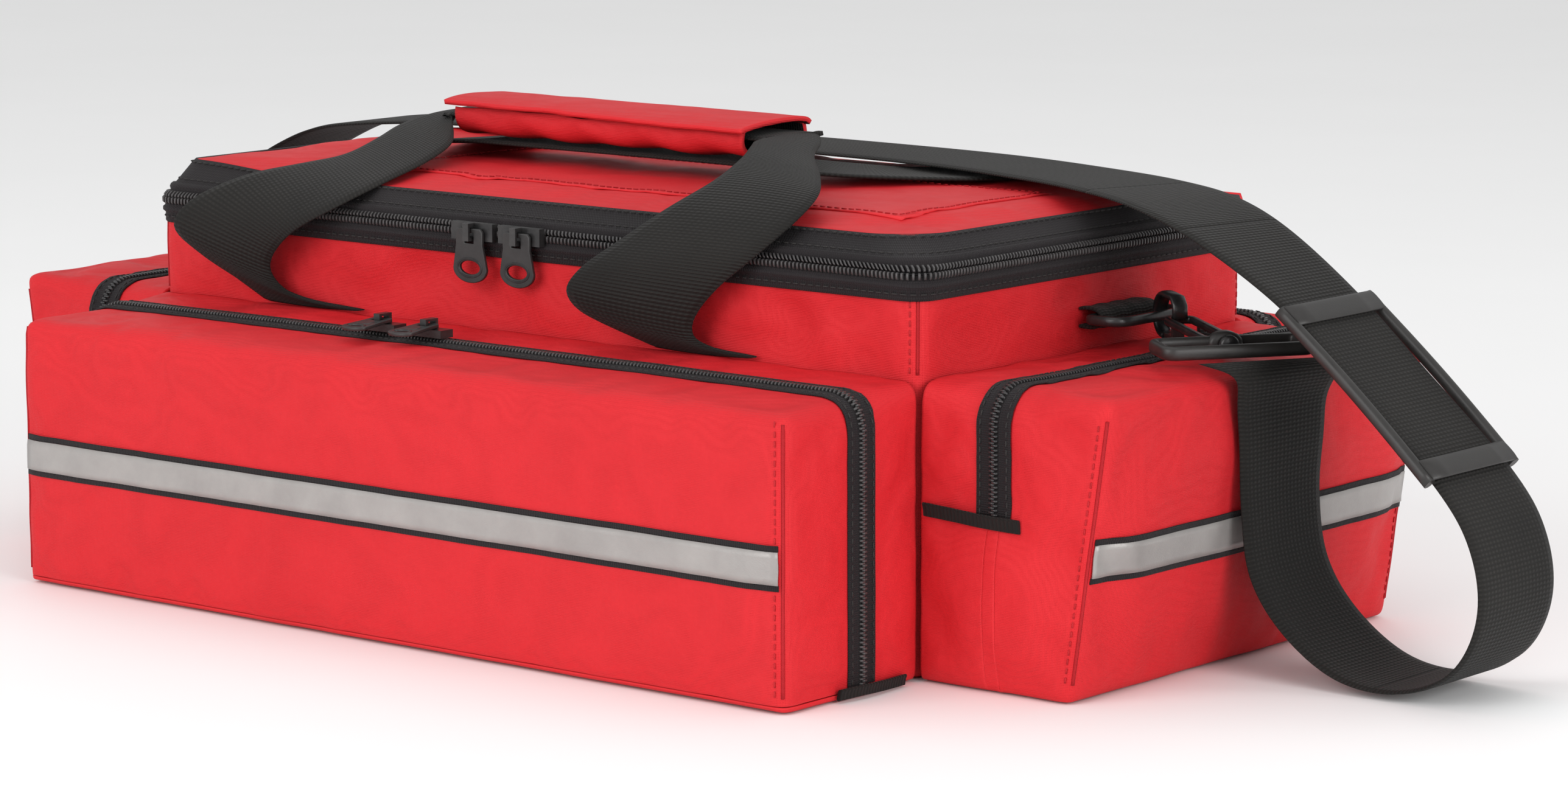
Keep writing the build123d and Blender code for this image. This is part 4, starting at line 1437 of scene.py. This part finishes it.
def hook_and_loop(name, side, turn):
    """A swivel hook round the ring and the wire loop that holds the strap's end."""
    place = turned(RING_OUTER_X, 0.027, RING_Z, "Z", turn) @ turned(0, 0, 0, "Y", 3)
    if side < 0:
        place = Matrix.Scale(-1, 4, (1, 0, 0)) @ place
    reach = 0.01025
    curl = [(0.0165, 0, 0.0005), (0.0155, 0, 0.007), (0.012, 0, reach)]
    curl += [(-reach * math.sin(a), 0, reach * math.cos(a)) for a in np.linspace(0, math.pi, 22)]
    curl.append((0.0028, 0, -reach))
    body = rectangle(0.0150, 0.0670, -0.0067, 0.0067, 0.004)
    stud = [
        (0.0665, 0.0026), (0.069, 0.003), (0.0787, 0.003), (0.0790, 0.0043),
        (0.0798, 0.005), (0.0818, 0.005), (0.0828, 0.0040), (0.083, 0.001),
    ]
    pieces = [
        bar("curl", np.array(curl), (0, 1, 0), 0.004, 0.00172),
        bar("body", body, UP, 0.002, 0.0021, closed=True),
        lathe("stud", stud),
    ]
    hook = placed(f"{name}_snap_hook", pieces, place)
    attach(hook, f"{name}_hook")
    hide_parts(f"{name}_hook")

    half = WEBBING / 2 + 0.0033
    loop = bar("loop", rectangle(0.0733, 0.0951, -half, half, 0.005), UP, 0.0034, 0.0026, True, PLASTIC)
    barrel = [
        (0.0708, 0.0034), (0.0712, 0.0052), (0.0722, 0.006),
        (0.0770, 0.006), (0.0780, 0.0052), (0.0783, 0.0034),
    ]
    collar = lathe("collar", barrel, PLASTIC)
    collar.data.transform(Matrix.Diagonal((1, 1.45, 1, 1)))
    return placed(f"{name}_strap_loop", [loop, collar], place)


def adjuster():
    """Plastic slide: two bowed rails joined by two flat bars over the webbing."""
    reach, wide = 0.0555, WEBBING / 2 + 0.0038
    pieces = []
    for y in (-wide, wide):
        xs = np.linspace(-reach, reach, 24)
        rail = [(x, y, 0.0010 + 0.0014 * math.cos(x / reach * math.pi / 2)) for x in xs]
        pieces.append(bar("rail", np.array(rail), (0, 1, 0), 0.0027, 0.0030, material=PLASTIC))
    for x in (-0.0495, 0.0495):
        cross = [(x, y, 0.0037) for y in np.linspace(-wide, wide, 6)]
        pieces.append(bar("cross", np.array(cross), (1, 0, 0), 0.006, 0.0013, material=PLASTIC))
    obj = placed("strap_adjuster_frame", pieces, turned(0.436, -0.002, 0.1425, "Y", 41.2))
    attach(obj, "strap_adjuster")
    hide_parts("strap_adjuster")


for ring_name, ring_side in (("left", -1), ("right", 1)):
    d_ring(ring_name, ring_side)
loops = join("strap_loops", [hook_and_loop("left", -1, 22.0), hook_and_loop("right", 1, -34.0)])
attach(loops, "bag")
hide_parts("strap_end_loops")
adjuster()


# ---- sliders and gates, which keep their CAD shape ----
def finish_cad():
    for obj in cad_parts.values():
        if obj.hide_render:
            continue
        obj.data.materials.clear()
        obj.data.materials.append(METAL)
        bevel = obj.modifiers.new("edges", "BEVEL")
        bevel.width = 0.0008
        bevel.segments = 3
        bevel.limit_method = "ANGLE"
        bevel.angle_limit = math.radians(35)


finish_cad()


# ---- stage and light ----
def studio():
    floor = make("floor", [(-6, -6, 0), (6, -6, 0), (6, 6, 0), (-6, 6, 0)], [(0, 1, 2, 3)], [])
    s = Shader("pale_floor", Roughness=0.7)
    colour = s.blend(s.noise(3, 3), (0.93, 0.93, 0.93), (0.96, 0.96, 0.96))
    floor.data.materials.append(s.use(Base_Color=colour))
    world = bpy.data.worlds.new("studio")
    scene.world = world
    world.use_nodes = True
    nodes, links = world.node_tree.nodes, world.node_tree.links
    light, seen = nodes["Background"], nodes.new("ShaderNodeBackground")
    light.inputs["Color"].default_value = seen.inputs["Color"].default_value = (1, 1, 1, 1)
    light.inputs["Strength"].default_value = 0.72
    mix = nodes.new("ShaderNodeMixShader")
    links.new(nodes.new("ShaderNodeLightPath").outputs["Is Camera Ray"], mix.inputs["Fac"])
    links.new(light.outputs[0], mix.inputs[1])
    links.new(seen.outputs[0], mix.inputs[2])
    links.new(mix.outputs[0], nodes["World Output"].inputs["Surface"])
    for name, place, size, power in (
        ("key", (-0.2, -3.0, 1.3), 2.2, 51),
        ("fill", (2.8, -0.6, 0.9), 1.5, 36),
        ("top", (0.0, 0.6, 2.8), 2.2, 10),
    ):
        light = bpy.data.objects.new(name, bpy.data.lights.new(name, "AREA"))
        light.data.size = size
        light.data.energy = power
        light.location = place
        light.rotation_euler = (Vector((0, 0, 0.1)) - Vector(place)).to_track_quat("-Z", "Y").to_euler()
        scene.collection.objects.link(light)
    scene.view_settings.view_transform = "Standard"


studio()

for form in (front_form, back_form, left_form, right_form, main_form, lid_form):
    bpy.data.objects.remove(form.obj)
